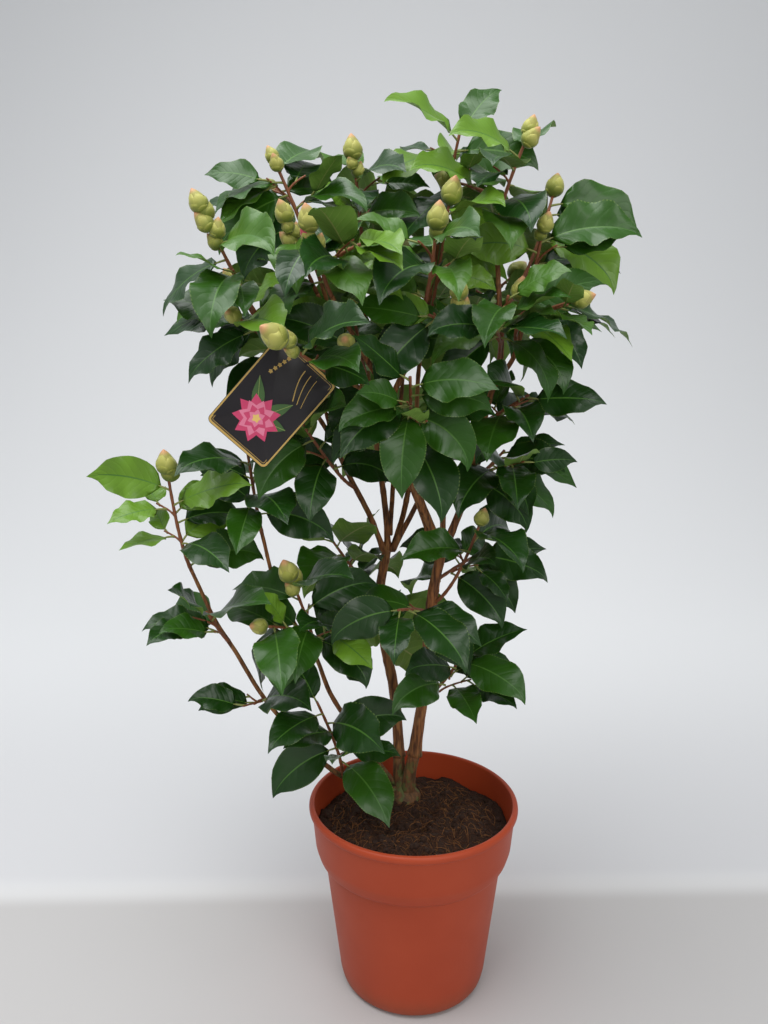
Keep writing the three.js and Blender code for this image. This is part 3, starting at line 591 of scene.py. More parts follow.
# %% Masses
MASSES = {
    "foliage_peak": {
        "on": "bough_peak", "at": 1, "tip": [42, 28, 850],
        "toward": [40, 200, 320, 100], "leaves": 7, "sides": [], "buds": 0,
    },
    "foliage_top_right": {
        "on": "bough_right", "at": 1, "tip": [98, -10, 834],
        "toward": [80, 0, 190, 250, 20], "leaves": 7, "sides": [150], "buds": 2,
    },
    "foliage_right_far": {
        "on": "bough_right", "at": 0.8, "tip": [126, 8, 788],
        "toward": [30, 350, 300, 200], "leaves": 6, "sides": [70], "buds": 1,
    },
    "foliage_shoulder_right": {
        "on": "bough_right_outer", "at": 1, "tip": [110, -28, 750],
        "toward": [240, 355, 180, 90], "leaves": 7, "sides": [], "buds": 2,
    },
    "foliage_outer_right": {
        "on": "bough_right_outer", "at": 0.55, "tip": [88, -44, 690],
        "toward": [0, 330, 220, 60], "leaves": 5, "sides": [326], "buds": 1,
    },
    "foliage_front": {
        "on": "bough_front", "at": 1, "tip": [12, -72, 744],
        "toward": [190, 330, 90, 230], "leaves": 7, "sides": [], "buds": 2,
    },
    "foliage_front_buds": {
        "on": "bough_inner_right", "at": 1, "tip": [34, -50, 690],
        "toward": [350, 200, 260, 90], "leaves": 6, "sides": [230], "buds": 3,
    },
    "foliage_back": {
        "on": "bough_back", "at": 1, "tip": [-4, 104, 742],
        "toward": [60, 200, 330], "leaves": 6, "sides": [30, 160], "buds": 1,
    },
    "foliage_top": {
        "on": "bough_centre", "at": 1, "tip": [-58, 40, 826],
        "toward": [0, 180, 345, 270], "leaves": 6, "sides": [40], "buds": 3,
    },
    "foliage_upper_left": {
        "on": "bough_upper_left", "at": 1, "tip": [-128, -8, 812],
        "toward": [50, 300, 175, 200], "leaves": 6, "sides": [110], "buds": 2,
    },
    "foliage_inner_left": {
        "on": "bough_inner_left", "at": 1, "tip": [-116, -24, 758],
        "toward": [15, 190, 270], "leaves": 6, "sides": [], "buds": 4,
    },
    "foliage_front_left": {
        "on": "bough_front_left", "at": 1, "tip": [-92, -72, 742],
        "toward": [340, 200, 20, 260], "leaves": 6, "sides": [340], "buds": 3,
    },
    "foliage_far_left": {
        "on": "bough_left", "at": 1, "tip": [-186, -46, 762],
        "toward": [190, 60, 185, 320], "leaves": 6, "sides": [], "buds": 5,
    },
    "foliage_low_left": {
        "on": "bough_front_low", "at": 1, "tip": [-113, -110, 650],
        "toward": [168, 35, 110], "leaves": 4, "sides": [], "buds": 3,
    },
    "foliage_shoulder_left": {
        "on": "bough_left", "at": 0.85, "tip": [-168, 0, 706],
        "toward": [185, 165, 230, 20], "leaves": 5, "sides": [250], "buds": 1,
    },
    "foliage_back_left": {
        "on": "bough_left", "at": 0.55, "tip": [-124, 76, 712],
        "toward": [110, 200, 20], "leaves": 6, "sides": [170, 110], "buds": 1,
    },
    "foliage_back_right": {
        "on": "bough_back_right", "at": 1, "tip": [104, 84, 724],
        "toward": [50, 320, 180], "leaves": 6, "sides": [20, 140], "buds": 1,
    },
    "foliage_heart": {
        "on": "bough_inner_left", "at": 0.62, "tip": [-58, -48, 676],
        "toward": [200, 330, 270], "leaves": 7, "sides": [255], "buds": 1,
    },
    "foliage_heart_right": {
        "on": "bough_right", "at": 0.62, "tip": [74, -66, 690],
        "toward": [340, 220, 280], "leaves": 7, "sides": [250], "buds": 0,
    },
    "foliage_heart_back": {
        "on": "bough_centre", "at": 0.6, "tip": [-70, 116, 690],
        "toward": [120, 30, 200], "leaves": 6, "sides": [150], "buds": 1,
    },
    "foliage_high_front": {
        "on": "bough_peak", "at": 0.74, "tip": [28, -16, 776],
        "toward": [215, 300, 20], "leaves": 7, "sides": [240], "buds": 1,
    },
    "foliage_middle": {
        "on": "bough_front", "at": 0.36, "tip": [-10, -84, 622],
        "toward": [185, 345, 310, 215], "leaves": 7, "sides": [], "buds": 0,
    },
    "foliage_middle_right": {
        "on": "bough_right", "at": 0.44, "tip": [100, -36, 606],
        "toward": [335, 190, 20, 300], "leaves": 6, "sides": [], "buds": 0,
    },
    "foliage_core_right": {
        "on": "bough_right", "at": 0.2, "tip": [90, 26, 550],
        "toward": [350, 320, 10, 200], "leaves": 6, "sides": [300], "buds": 0,
    },
    "foliage_middle_left": {
        "on": "bough_left", "at": 0.36, "tip": [-106, -22, 580],
        "toward": [205, 330, 180, 100], "leaves": 6, "sides": [], "buds": 0,
    },
    "foliage_middle_back": {
        "on": "bough_back", "at": 0.45, "tip": [-40, 122, 590],
        "toward": [90, 200, 340], "leaves": 6, "sides": [60], "buds": 0,
    },
    "foliage_left_tip": {
        "on": "shoot_left", "at": 1, "tip": [-230, -28, 536], "step": 1.6,
        "toward": [195, 170, 345, 30, 320, 20], "leaves": 6, "sides": [], "buds": 2,
    },
    "foliage_left_shoot": {
        "on": "shoot_left", "at": 0.8, "tip": [-200, -26, 402],
        "toward": [255, 345], "leaves": 3, "sides": [], "buds": 0,
    },
    "foliage_left_low": {
        "on": "shoot_left", "at": 0.62, "tip": [-158, -20, 306], "step": 1.3,
        "toward": [185, 40], "leaves": 2, "sides": [], "buds": 0,
    },
    "foliage_inner_tip": {
        "on": "shoot_inner", "at": 1, "tip": [-160, -4, 556], "step": 1.5,
        "toward": [160, 185, 300, 235, 20], "leaves": 7, "sides": [], "buds": 1,
    },
    "foliage_inner_low": {
        "on": "shoot_inner", "at": 0.5, "tip": [-118, -34, 436], "step": 1.3,
        "toward": [190, 290, 170, 40], "leaves": 7, "sides": [215], "buds": 3,
    },
    "foliage_rim_left": {
        "on": "shoot_left", "at": 0.26, "tip": [-96, -26, 310], "step": 1.5,
        "toward": [120, 230, 330, 20], "leaves": 7, "sides": [], "buds": 0,
    },
    "foliage_stem_front": {
        "on": "stem_right", "at": 0.62, "tip": [-18, -46, 408],
        "toward": [245, 190, 290, 330], "leaves": 7, "sides": [], "buds": 0,
    },
    "foliage_stem_left": {
        "on": "stem_left", "at": 0.7, "tip": [-84, 52, 456],
        "toward": [200, 330, 250, 120], "leaves": 6, "sides": [], "buds": 0,
    },
    "foliage_stem_right": {
        "on": "stem_right", "at": 0.8, "tip": [74, 38, 446],
        "toward": [350, 320, 20, 200], "leaves": 6, "sides": [], "buds": 0,
    },
    "foliage_low_right": {
        "on": "stem_right", "at": 0.25, "tip": [50, -2, 350],
        "toward": [350, 320, 210, 60], "leaves": 5, "sides": [], "buds": 0,
    },
    "foliage_twig_right": {
        "on": "stem_right", "at": 0.68, "tip": [60, -24, 486],
        "toward": [340, 300, 20, 200], "leaves": 4, "sides": [], "buds": 1,
    },
    "foliage_stem_back": {
        "on": "stem_left", "at": 0.45, "tip": [-20, 108, 372],
        "toward": [90, 220, 340], "leaves": 6, "sides": [], "buds": 0,
    },
}
print(len(MASSES), "masses")

# %% [markdown]
# ## Growing the limbs
#
# A Catmull-Rom spline passes through every point it is given, which suits a bough that was measured
# at a few places. Its speed at a point is half the step from the point before to the point after.


# %% Limb curves
def smooth_curve(points, shares):
    """A Catmull-Rom spline. Between points b and c, with a before and d after, the cubic starts with
    speed (c - a) / 2 and ends with speed (d - b) / 2. The ends are drawn out by one step."""
    p = np.asarray(points, float)
    p = np.concatenate([[2 * p[0] - p[1]], p, [2 * p[-1] - p[-2]]])
    place = np.asarray(shares, float) * (len(p) - 3)
    i = np.minimum(place.astype(int), len(p) - 4)
    t = (place - i)[:, None]
    a, b, c, d = p[i], p[i + 1], p[i + 2], p[i + 3]
    start, end = (c - a) / 2, (d - b) / 2
    return b + start * t + (3 * (c - b) - 2 * start - end) * t**2 + (2 * (b - c) + start + end) * t**3


limb_rings = {}
for name, limb in LIMBS.items():
    steps = math.ceil(1.5 * (len(limb["points"]) - 1))
    shares = np.linspace(0, 1, steps + 1)
    limb_rings[name] = (smooth_curve(limb["points"], shares), np.interp(shares, [0, 1], limb["radii"]))


def limb_at(name, share):
    """Where a limb is at a share of its length, which way it runs there, and its radius."""
    points, radii = limb_rings[name]
    place = share * (len(points) - 1)
    i = min(int(place), len(points) - 2)
    part = place - i
    point = points[i] + (points[i + 1] - points[i]) * part
    return point, unit(points[i + 1] - points[i]), radii[i] + (radii[i + 1] - radii[i]) * part


# %% [markdown]
# ## Growing twigs, leaves and buds
#
# The growing rule draws its chances from a small number machine with a known start, so the same plant
# comes up every time. It is the same machine and the same order of draws as in the solid model.


# %% Chances and directions
def seeded(seed):
    """A repeatable row of chances: the state is multiplied, moved on and wrapped each time."""
    state = [seed]

    def draw(low, high):
        state[0] = (state[0] * 1664525 + 1013904223) % 4294967296
        return low + (high - low) * state[0] / 4294967296

    return draw


UP = np.array([0.0, 0.0, 1.0])


def bearing_way(bearing, rise=0.0):
    """A direction from a compass bearing in degrees."""
    return unit(np.array([math.cos(math.radians(bearing)), math.sin(math.radians(bearing)), rise]))


def twig_path(start, heading, tip, steps):
    """A quadratic curve: it sets off along its heading and bends over to its tip."""
    elbow = start + heading * 0.3 * np.linalg.norm(tip - start)
    t = np.linspace(0, 1, steps + 1)[:, None]
    return start * (1 - t) ** 2 + elbow * 2 * t * (1 - t) + tip * t**2


# %% Twigs of one mass
def grow_twigs(mass, draw):
    """The stem of a mass, and the side twigs that fork off it one after another."""
    point, along, radius = limb_at(mass["on"], mass["at"])
    at_end = mass["at"] == 1
    tip = np.array(mass["tip"], float)
    reach = tip - point
    facing = along if at_end else unit(reach - along * (reach @ along))
    start = point + facing * (CLEAR if at_end else radius + CLEAR)
    heading = unit(facing + along * (0 if at_end else 0.8))
    stem = {"step": 1, **mass, "path": twig_path(start, heading, tip, 4), "radii": [TWIG["foot"], TWIG["tip"]]}
    stem["curve"] = (point, heading, tip)
    twigs = [stem]
    for k, bearing in enumerate(mass["sides"]):
        fork = (stem["path"][1 + k] + stem["path"][2 + k]) / 2
        onward = unit(stem["path"][2 + k] - fork)
        reach = draw(46, 62)
        end = fork + bearing_way(bearing, 0.15) * 0.85 * reach + onward * 0.4 * reach
        buds = 1 if mass["buds"] > 0 and draw(0, 1) < 0.6 else 0
        side = {"step": 1, "path": twig_path(fork, onward, end, 2), "radii": [TWIG["side"], TWIG["tip"]]}
        side.update(toward=[bearing - 30, bearing + 60], leaves=4, buds=buds, curve=(fork, onward, end))
        twigs.append(side)
    return twigs


def back_from_tip(twig, distance):
    """The point of a twig at a distance back from its tip, and the way the twig runs there."""
    left = distance
    path = twig["path"]
    for i in range(len(path) - 1, 0, -1):
        step = np.linalg.norm(path[i] - path[i - 1])
        if left <= step:
            along = (path[i] - path[i - 1]) / step
            return path[i] - along * left, along
        left -= step
    return None, None


def leaving(along, bearing, angle):
    """A direction at an angle to the twig, on the side that faces a compass bearing."""
    flat = bearing_way(bearing)
    out = flat - along * (flat @ along)
    out = unit(UP if np.linalg.norm(out) < 0.1 else out)
    return along * math.cos(math.radians(angle)) + out * math.sin(math.radians(angle))


def grow_buds(twig, draw):
    """Buds stand at the tip of a twig and beside it."""
    buds = []
    for k in range(twig["buds"]):
        point, along = back_from_tip(twig, BUD["sunk"] if k == 0 else 2 + 8 * k)
        angle = draw(0, 12) if k == 0 else draw(20, 34)
        length = BUD["length"] * draw(0.85, 1.12) * (1.08 if k == 0 else 0.92)
        if point is not None:
            way = leaving(along, twig["toward"][0] + 80 + 150 * k, angle)
            buds.append({"foot": point, "way": way, "length": length, "radius": BUD["girth"] * length})
    return buds


# %% [markdown]
# ## Room for a leaf
#
# A leaf that would pass through a twig, a bud, the pot, the label or another leaf is turned round its
# twig, and left out if no place fits. For these tests a leaf is a coarse sheet of triangles with some
# probe lines along and through it, and everything round is a rod: a line with a radius. The tests run
# on whole arrays of lines and triangles at once.


# %% Tests of room
def pierced(starts, ends, triangles):
    """Whether any line passes through any triangle. The line meets the plane of a triangle at the share
    t of its length, and the point there is inside if it is on the inner side of all three edges."""
    reach = ends - starts
    a, b, c = triangles[:, 0], triangles[:, 1], triangles[:, 2]
    normal = np.cross(b - a, c - a)
    slope = reach @ normal.T
    gap = (normal * a).sum(axis=1)[None] - starts @ normal.T
    with np.errstate(divide="ignore", invalid="ignore"):
        t = gap / slope
    hit = (np.abs(slope) > 1e-12) & (t >= 0) & (t <= 1)
    if not hit.any():
        return False
    line, face = np.nonzero(hit)
    point = starts[line] + reach[line] * t[line, face][:, None]
    inside = np.ones(len(line), bool)
    for first, second in ((a, b), (b, c), (c, a)):
        side = np.cross(second[face] - first[face], point - first[face])
        inside &= (side * normal[face]).sum(axis=1) >= 0
    return bool(inside.any())


def line_gaps(a, b, c, d):
    """The least distance between each line a-b and each line c-d, as a table."""
    first, second, apart = (b - a)[:, None], (d - c)[None], a[:, None] - c[None]
    ff, ss, fs = (first**2).sum(-1), (second**2).sum(-1), (first * second).sum(-1)
    fa, sa = (first * apart).sum(-1), (second * apart).sum(-1)
    across = ff * ss - fs**2
    start = np.where(across > 1e-9, np.clip((fs * sa - fa * ss) / np.maximum(across, 1e-9), 0, 1), 0)
    u = np.clip((fs * start + sa) / ss, 0, 1)
    t = np.clip((fs * u - fa) / ff, 0, 1)
    return np.linalg.norm(apart + first * t[..., None] - second * u[..., None], axis=-1)


def clear_of_pot(points):
    """The pot and soil are round, so height and distance from the axis say whether a point is clear."""
    out, z = np.hypot(points[:, 0], points[:, 1]), points[:, 2]
    above = z > POT["height"] + 5
    beside = (out > POT["lip_radius"] + 5) & (z > 5)
    over_soil = (out < POT["collar_foot"] - POT["wall"] - 6) & (z > SOIL["crown_z"] + 5)
    return above | beside | (over_soil & (out <= POT["lip_radius"] + 5))


def label_place(points):
    """Points in the label's own directions: along its long side, out of its face, along its short side."""
    slope = math.radians(LABEL["slope"])
    away = points - np.array(LABEL["centre"])
    turn = np.array([[math.cos(slope), 0, math.sin(slope)], [0, 1, 0], [-math.sin(slope), 0, math.cos(slope)]])
    return away @ turn.T


def clear_of_label(points):
    """Nothing hangs in front of the label's face."""
    x, y, z = label_place(points).T
    return (y > 6) | (np.abs(x) > 0.46 * LABEL["long"]) | (np.abs(z) > 0.46 * LABEL["wide"])


# %% The coarse leaf
def blade_outline(share):
    """Half the width of a blade at a share of its length, as a share of its widest."""
    return np.sin(np.pi * np.clip(share, 0, 1) ** 0.78) ** 0.86


def coarse_stations(leaf):
    """Middle, right and left points and the normal at each station of the blade."""
    heading = np.array([math.cos(leaf["turn"]), math.sin(leaf["turn"]), 0])
    level = np.array([math.sin(leaf["turn"]), -math.cos(leaf["turn"]), 0])
    share = (np.arange(SPINE_STEPS) + 0.5) / SPINE_STEPS
    rise = leaf["rise"] - leaf["droop"] * share - leaf["curl"] * np.maximum(0, share - 0.66) ** 2
    steps = heading * np.cos(rise)[:, None] + UP * np.sin(rise)[:, None]
    steps = steps * leaf["length"] / SPINE_STEPS
    spine = np.concatenate([leaf["neck"][None], leaf["neck"] + np.cumsum(steps, axis=0)])
    stations = []
    for s in STATIONS:
        i = round(s * SPINE_STEPS)
        along = unit(spine[min(i + 1, SPINE_STEPS)] - spine[max(i - 1, 0)])
        cos, sin = math.cos(leaf["roll"]), math.sin(leaf["roll"])
        across = level * cos + np.cross(along, level) * sin + along * (along @ level) * (1 - cos)
        normal = np.cross(across, along)
        half = 0.5 * LEAF["width"] * leaf["length"] * float(blade_outline(s))
        wide, high = half * math.cos(leaf["fold"]), half * math.sin(leaf["fold"])
        middle = spine[i]
        stations.append((middle, middle + across * wide + normal * high, middle - across * wide + normal * high, normal))
    return stations


def coarse_sheet(stations):
    """The blade as one layer of triangles."""
    foot, *others, tip = stations
    triangles = []
    for side in (1, 2):
        triangles.append([foot[0], others[0][side], others[0][0]])
        for near, far in zip(others, others[1:]):
            triangles += [[near[0], near[side], far[side]], [near[0], far[side], far[0]]]
        triangles.append([others[-1][0], others[-1][side], tip[0]])
    return np.array(triangles)


def coarse_probes(stations):
    """Lines along and across the blade on both its faces, and through it."""
    lines = []

    def off(station, line, lift):
        return station[line] + station[3] * lift * LEAF["thickness"]

    for i, here in enumerate(stations):
        later = stations[i + 1] if i + 1 < len(stations) else None
        for line in (0, 1, 2):
            lines.append((off(here, line, 1), off(here, line, -1)))
            if later:
                lines += [(off(here, line, lift), off(later, line, lift)) for lift in (-1, 0, 1)]
        if later and i > 0:
            lines += [(off(here, 2, lift), off(here, 1, lift)) for lift in (-1, 0, 1)]
    return np.array(lines)


# %% [markdown]
# `Crowd` keeps every rod and sheet that has grown so far. It answers one question: does this leaf fit?


# %% The crowd
class Crowd:
    """All that has grown so far, as rods and sheets."""

    def __init__(self):
        self.rods = np.zeros((0, 7))
        self.sheets = []
        self.centres = np.zeros((0, 3))

    def add_rods(self, path, radii):
        path = np.asarray(path, float)
        widest = np.maximum(radii[:-1], radii[1:])[:, None]
        self.rods = np.concatenate([self.rods, np.hstack([path[:-1], path[1:], widest])])

    def add_sheet(self, sheet, probes, centre):
        self.sheets.append((sheet, probes))
        self.centres = np.concatenate([self.centres, [centre]])

    def fits(self, leaf):
        """The leaf's sheet, probes and centre, or None where it would cross or touch something."""
        stations = coarse_stations(leaf)
        sheet = coarse_sheet(stations)
        spots = np.concatenate([sheet.mean(axis=1)] + [np.array(s[:3]) for s in stations])
        if not (clear_of_pot(spots) & clear_of_label(spots)).all():
            return None
        centre, reach = stations[1][0], 0.7 * leaf["length"]
        start, end, radius = self.rods[:, :3], self.rods[:, 3:6], self.rods[:, 6]
        away = np.linalg.norm((start + end) / 2 - centre, axis=1)
        near = away <= reach + np.linalg.norm(end - start, axis=1)
        if near.any():
            start, end, radius = start[near], end[near], radius[near]
            if pierced(start, end, sheet):
                return None
            edges_from, edges_to = sheet[:, :2].reshape(-1, 3), sheet[:, 1:].reshape(-1, 3)
            if (line_gaps(edges_from, edges_to, start, end) < radius[None] + 1.4).any():
                return None
        probes = coarse_probes(stations)
        close = np.nonzero(np.linalg.norm(self.centres - centre, axis=1) <= reach + 60)[0]
        if len(close):
            others = np.concatenate([self.sheets[i][0] for i in close])
            other_probes = np.concatenate([self.sheets[i][1] for i in close])
            own = np.concatenate([probes, [[leaf["foot"], leaf["neck"]]]])
            if pierced(own[:, 0], own[:, 1], others):
                return None
            if pierced(other_probes[:, 0], other_probes[:, 1], sheet):
                return None
        return sheet, probes, centre


crowd = Crowd()


# %% One leaf
def grow_leaf(twig, k, draw, allowed=None, size=1.0):
    """Leaf number k back from the tip of a twig, turned round it until it has room."""
    point, along = back_from_tip(twig, twig["step"] * (4 + 6.5 * k + 0.9 * k * k))
    length = LEAF["length"] * draw(0.86, 1.1) * (0.8 if k == 0 else 1) * size
    named = min(k, len(twig["toward"]) - 1)
    bearing = twig["toward"][named] + NEXT_LEAF * (k - named) + draw(-8, 8)
    angle = min(50 + 10 * k, 80) + draw(-6, 6)
    droop = math.radians(draw(6, 44) + 7 * k)
    curl, lean, fold = math.radians(draw(0, 420)), draw(-30, 30), math.radians(draw(-6, 28))
    if point is None:
        return None
    for turned in (0, 35, -35, 70, -70, 110, -110, 150):
        way = leaving(along, bearing + turned, angle)
        neck = point + way * STALK
        leaf = {"foot": point, "neck": neck, "length": length, "droop": droop, "curl": curl, "fold": fold}
        leaf["turn"] = math.atan2(way[1], way[0])
        leaf["roll"] = math.radians(lean + LEAF["lean"] * math.cos(leaf["turn"]) * (1 if neck[1] < MIDDLE_Y else -1))
        lift, steepest = (LIFT, STEEPEST[0]) if k == 0 else (0, STEEPEST[1])
        leaf["rise"] = min(math.asin(way[2]) + lift, steepest)
        placed = crowd.fits(leaf)
        if placed and (allowed is None or allowed(placed[0])):
            crowd.add_sheet(*placed)
            crowd.add_rods([point + (neck - point) * 0.4, neck], np.array([0.8, 0.8]))
            leaf["rank"] = k
            return leaf
    return None


# %% [markdown]
# ## The plant grows
#
# Limbs and label take their room first, then every twig and bud, and then the leaves, one on each
# twig in turn, so that no mass takes all the light.

# %% The plant grows
for name in LIMBS:
    crowd.add_rods(*limb_rings[name])

hook_point, hook_along, hook_radius = limb_at(LABEL["hooked_on"], LABEL["hooked_at"])
slope = math.radians(LABEL["slope"])
LONG_WAY = np.array([math.cos(slope), 0, math.sin(slope)])
WIDE_WAY = np.array([-math.sin(slope), 0, math.cos(slope)])
label_centre = np.array(LABEL["centre"], float)
card_edge = label_centre + LONG_WAY * (LABEL["long"] / 2 - 4)
crowd.add_rods([card_edge, hook_point], np.array([2.0, 2.0]))
card_corners = np.array([
    label_centre + LONG_WAY * a * LABEL["long"] / 2 + WIDE_WAY * b * LABEL["wide"] / 2
    for a, b in ((-1, -1), (1, -1), (1, 1), (-1, 1))
])
card_edges = np.stack([card_corners, np.roll(card_corners, -1, axis=0)], axis=1)
crowd.add_sheet(card_corners[[[0, 1, 2], [0, 2, 3]]], card_edges, label_centre)

masses = []
for i, (name, mass) in enumerate(MASSES.items()):
    draw = seeded(3160 + 977 * i)
    twigs = grow_twigs(mass, draw)
    buds = []
    for twig in twigs:
        crowd.add_rods(twig["path"], np.linspace(*twig["radii"], len(twig["path"])))
        buds += grow_buds(twig, draw)
    for bud in buds:
        ends = bud["foot"] + np.array([[0.3], [0.8]]) * bud["way"] * bud["length"]
        crowd.add_rods(ends, np.array([bud["radius"]] * 2))
    masses.append({"name": name, "twigs": twigs, "buds": buds, "draw": draw, "leaves": []})
for k in range(MOST_LEAVES):
    for mass in masses:
        for twig in mass["twigs"]:
            leaf = grow_leaf(twig, k, mass["draw"]) if k < twig["leaves"] else None
            if leaf:
                mass["leaves"].append(leaf)
first_leaves = sum(len(mass["leaves"]) for mass in masses)
print(first_leaves, "leaves as in the solids")


# %% [markdown]
# ## Finer twigs
#
# The solids have as many leaves as they can carry. The real shrub has more, on short shoots between
# the others. Here each twig sends out a few shoots from its lower part, and each shoot carries two or
# three smaller leaves. A leaf is only kept where it stays within the reach of its mass, so the gaps
# through which we see the sky stay open.


# %% Finer twigs
def within_reach(mass, slack):
    """A test that all of a leaf lies near the leaves that the mass already has."""
    spots = np.concatenate([[leaf["neck"]] + [leaf["far"]] for leaf in mass["leaves"]])
    low, high = spots.min(axis=0) - slack, spots.max(axis=0) + slack

    def test(sheet):
        corners = sheet.reshape(-1, 3)
        return bool((corners > low).all() and (corners < high).all())

    return test


def grow_shoots(mass, draw):
    """Short shoots from a share of the way along each twig, each with up to three leaves."""
    shoots = []
    for twig in mass["twigs"]:
        for share in (0.35, 0.62):
            i = share * (len(twig["path"]) - 1)
            low = int(i)
            fork = twig["path"][low] + (twig["path"][low + 1] - twig["path"][low]) * (i - low)
            onward = unit(twig["path"][low + 1] - twig["path"][low])
            bearing = twig["toward"][0] + draw(0, 360)
            reach = draw(20, 32)
            end = fork + (bearing_way(bearing, 0.2) * 0.8 + onward * 0.5) * reach
            shoot = {"step": 1, "path": twig_path(fork, onward, end, 2), "radii": [1.3, 1.0], "leaves": 3}
            shoot.update(toward=[bearing - 60, bearing + 70], buds=0, curve=(fork, onward, end))
            shoots.append(shoot)
    return shoots


for mass in masses:
    for leaf in mass["leaves"]:
        leaf["far"] = coarse_stations(leaf)[-1][0]
for i, mass in enumerate(masses):
    if not mass["leaves"]:
        continue
    draw = seeded(40123 + 311 * i)
    allowed = within_reach(mass, 12)
    for shoot in grow_shoots(mass, draw):
        grown = []
        for k in range(shoot["leaves"]):
            leaf = grow_leaf(shoot, k, draw, allowed, size=draw(0.72, 1.0))
            if leaf:
                grown.append(leaf)
        if grown:
            crowd.add_rods(shoot["path"], np.linspace(*shoot["radii"], len(shoot["path"])))
            mass["twigs"].append(shoot)
            mass["leaves"] += grown
all_leaves = [leaf for mass in masses for leaf in mass["leaves"]]
print(len(all_leaves), "leaves with the finer twigs")

# %% [markdown]
# ## Leaves
#
# A camellia leaf is an oval with a drawn-out tip that often hooks down. Its two halves fold up from
# the midrib and flatten out again towards the rim, and the rim waves a little. All leaves are worked
# out together: an array of spines, one ring of points round the blade at each step along it, and both
# ends closed. The rim is a crease, so that the top and the back are each shaded by themselves.

# %% Blades
ROWS = 14
RING_ACROSS = np.array([-1, -0.62, -0.3, -0.036, 0.036, 0.3, 0.62, 1, 0.62, 0.3, 0.036, -0.036, -0.3, -0.62])
RING_BACK = np.array([0] * 8 + [1] * 6)
QUAD_SKIN = np.array(["top"] * 3 + ["rib"] + ["top"] * 3 + ["back"] * 3 + ["rib_back"] + ["back"] * 3)


def column(leaves, key):
    """One fact of every leaf, as a column."""
    return np.array([leaf[key] for leaf in leaves])


def blade_spines(leaves, shares):
    """Each spine leaves its stalk at an angle to the level, droops evenly and curls down at its end:
    rise = rise0 - droop s - curl (s - 0.66)^2. A point is the sum of the short steps before it."""
    middle = (shares[1:] + shares[:-1]) / 2
    rise0, droop, curl = (column(leaves, key)[:, None] for key in ("rise", "droop", "curl"))
    rise = rise0 - droop * middle - curl * np.maximum(0, middle - 0.66) ** 2
    turn, length = column(leaves, "turn"), column(leaves, "length")
    heading = np.stack([np.cos(turn), np.sin(turn), np.zeros_like(turn)], axis=-1)
    steps = np.cos(rise)[..., None] * heading[:, None] + np.sin(rise)[..., None] * UP
    steps = steps * (np.diff(shares)[None, :, None] * length[:, None, None])
    neck = column(leaves, "neck")[:, None]
    return np.concatenate([neck, neck + np.cumsum(steps, axis=1)], axis=1)


def blades(leaves, seed):
    """Point = spine + half(s) (u across) + lift normal, with half(s) the outline and
    lift = fold |u| (1 - 0.45 |u|) half + a wave at the rim, for a ring of u round the blade."""
    rng = np.random.default_rng(seed)
    count = len(leaves)
    shares = np.linspace(0, 1, ROWS) ** 0.93
    spine = blade_spines(leaves, shares)
    along = unit(np.gradient(spine, axis=1))
    turn = column(leaves, "turn")
    level = np.stack([np.sin(turn), -np.cos(turn), np.zeros_like(turn)], axis=-1)[:, None]
    roll = column(leaves, "roll")[:, None, None] + rng.uniform(-0.25, 0.25, (count, 1, 1)) * shares[None, :, None]
    across = level * np.cos(roll) + np.cross(along, level) * np.sin(roll)
    across = unit(across - along * (across * along).sum(axis=-1, keepdims=True))
    normal = np.cross(across, along)
    width = LEAF["width"] * rng.uniform(0.92, 1.06, (count, 1, 1))
    pinch = 1 - 0.5 * np.clip((shares - 0.7) / 0.26, 0, 1) ** 2 * (3 - 2 * np.clip((shares - 0.7) / 0.26, 0, 1))
    half = 0.5 * width * column(leaves, "length")[:, None, None] * (blade_outline(shares) * pinch)[None, :, None]
    u = RING_ACROSS[None, None]
    fold = np.maximum(column(leaves, "fold"), 0.05)[:, None, None]
    phase, waves = rng.uniform(0, 6.28, (2, count, 1, 1)), rng.uniform(1.6, 3.2, (count, 1, 1))
    sway = np.sin(waves * 2 * np.pi * shares[None, :, None] + phase[0] + (u > 0) * phase[1])
    lift = half * (np.sin(fold) * 1.5 * np.abs(u) * (1 - 0.42 * np.abs(u)) + 0.19 * sway * u**2)
    rib = 0.35 * (1 - shares)[None, :, None] * (np.abs(u) < 0.1) * (RING_BACK[None, None] * 2 - 1)
    lift = lift - rib - 0.3 * RING_BACK[None, None]
    out = half * u * np.cos(fold * (1 - 0.3 * np.abs(u)))
    points = spine[:, :, None] + out[..., None] * across[:, :, None] + lift[..., None] * normal[:, :, None]
    return points, spine, shares


def halved(quads, flipped):
    """Two triangles for each quad, cut from its first corner, or from its second one where flipped.
    The back runs round the ring the other way, so its cuts are flipped to lie under the top's."""
    a, b, c, d = quads.T
    none = np.full_like(a, -1)
    first = np.stack([a, b, np.where(flipped, d, c), none], axis=-1)
    second = np.stack([np.where(flipped, b, a), c, d, none], axis=-1)
    return np.stack([first, second], axis=1).reshape(-1, 4)


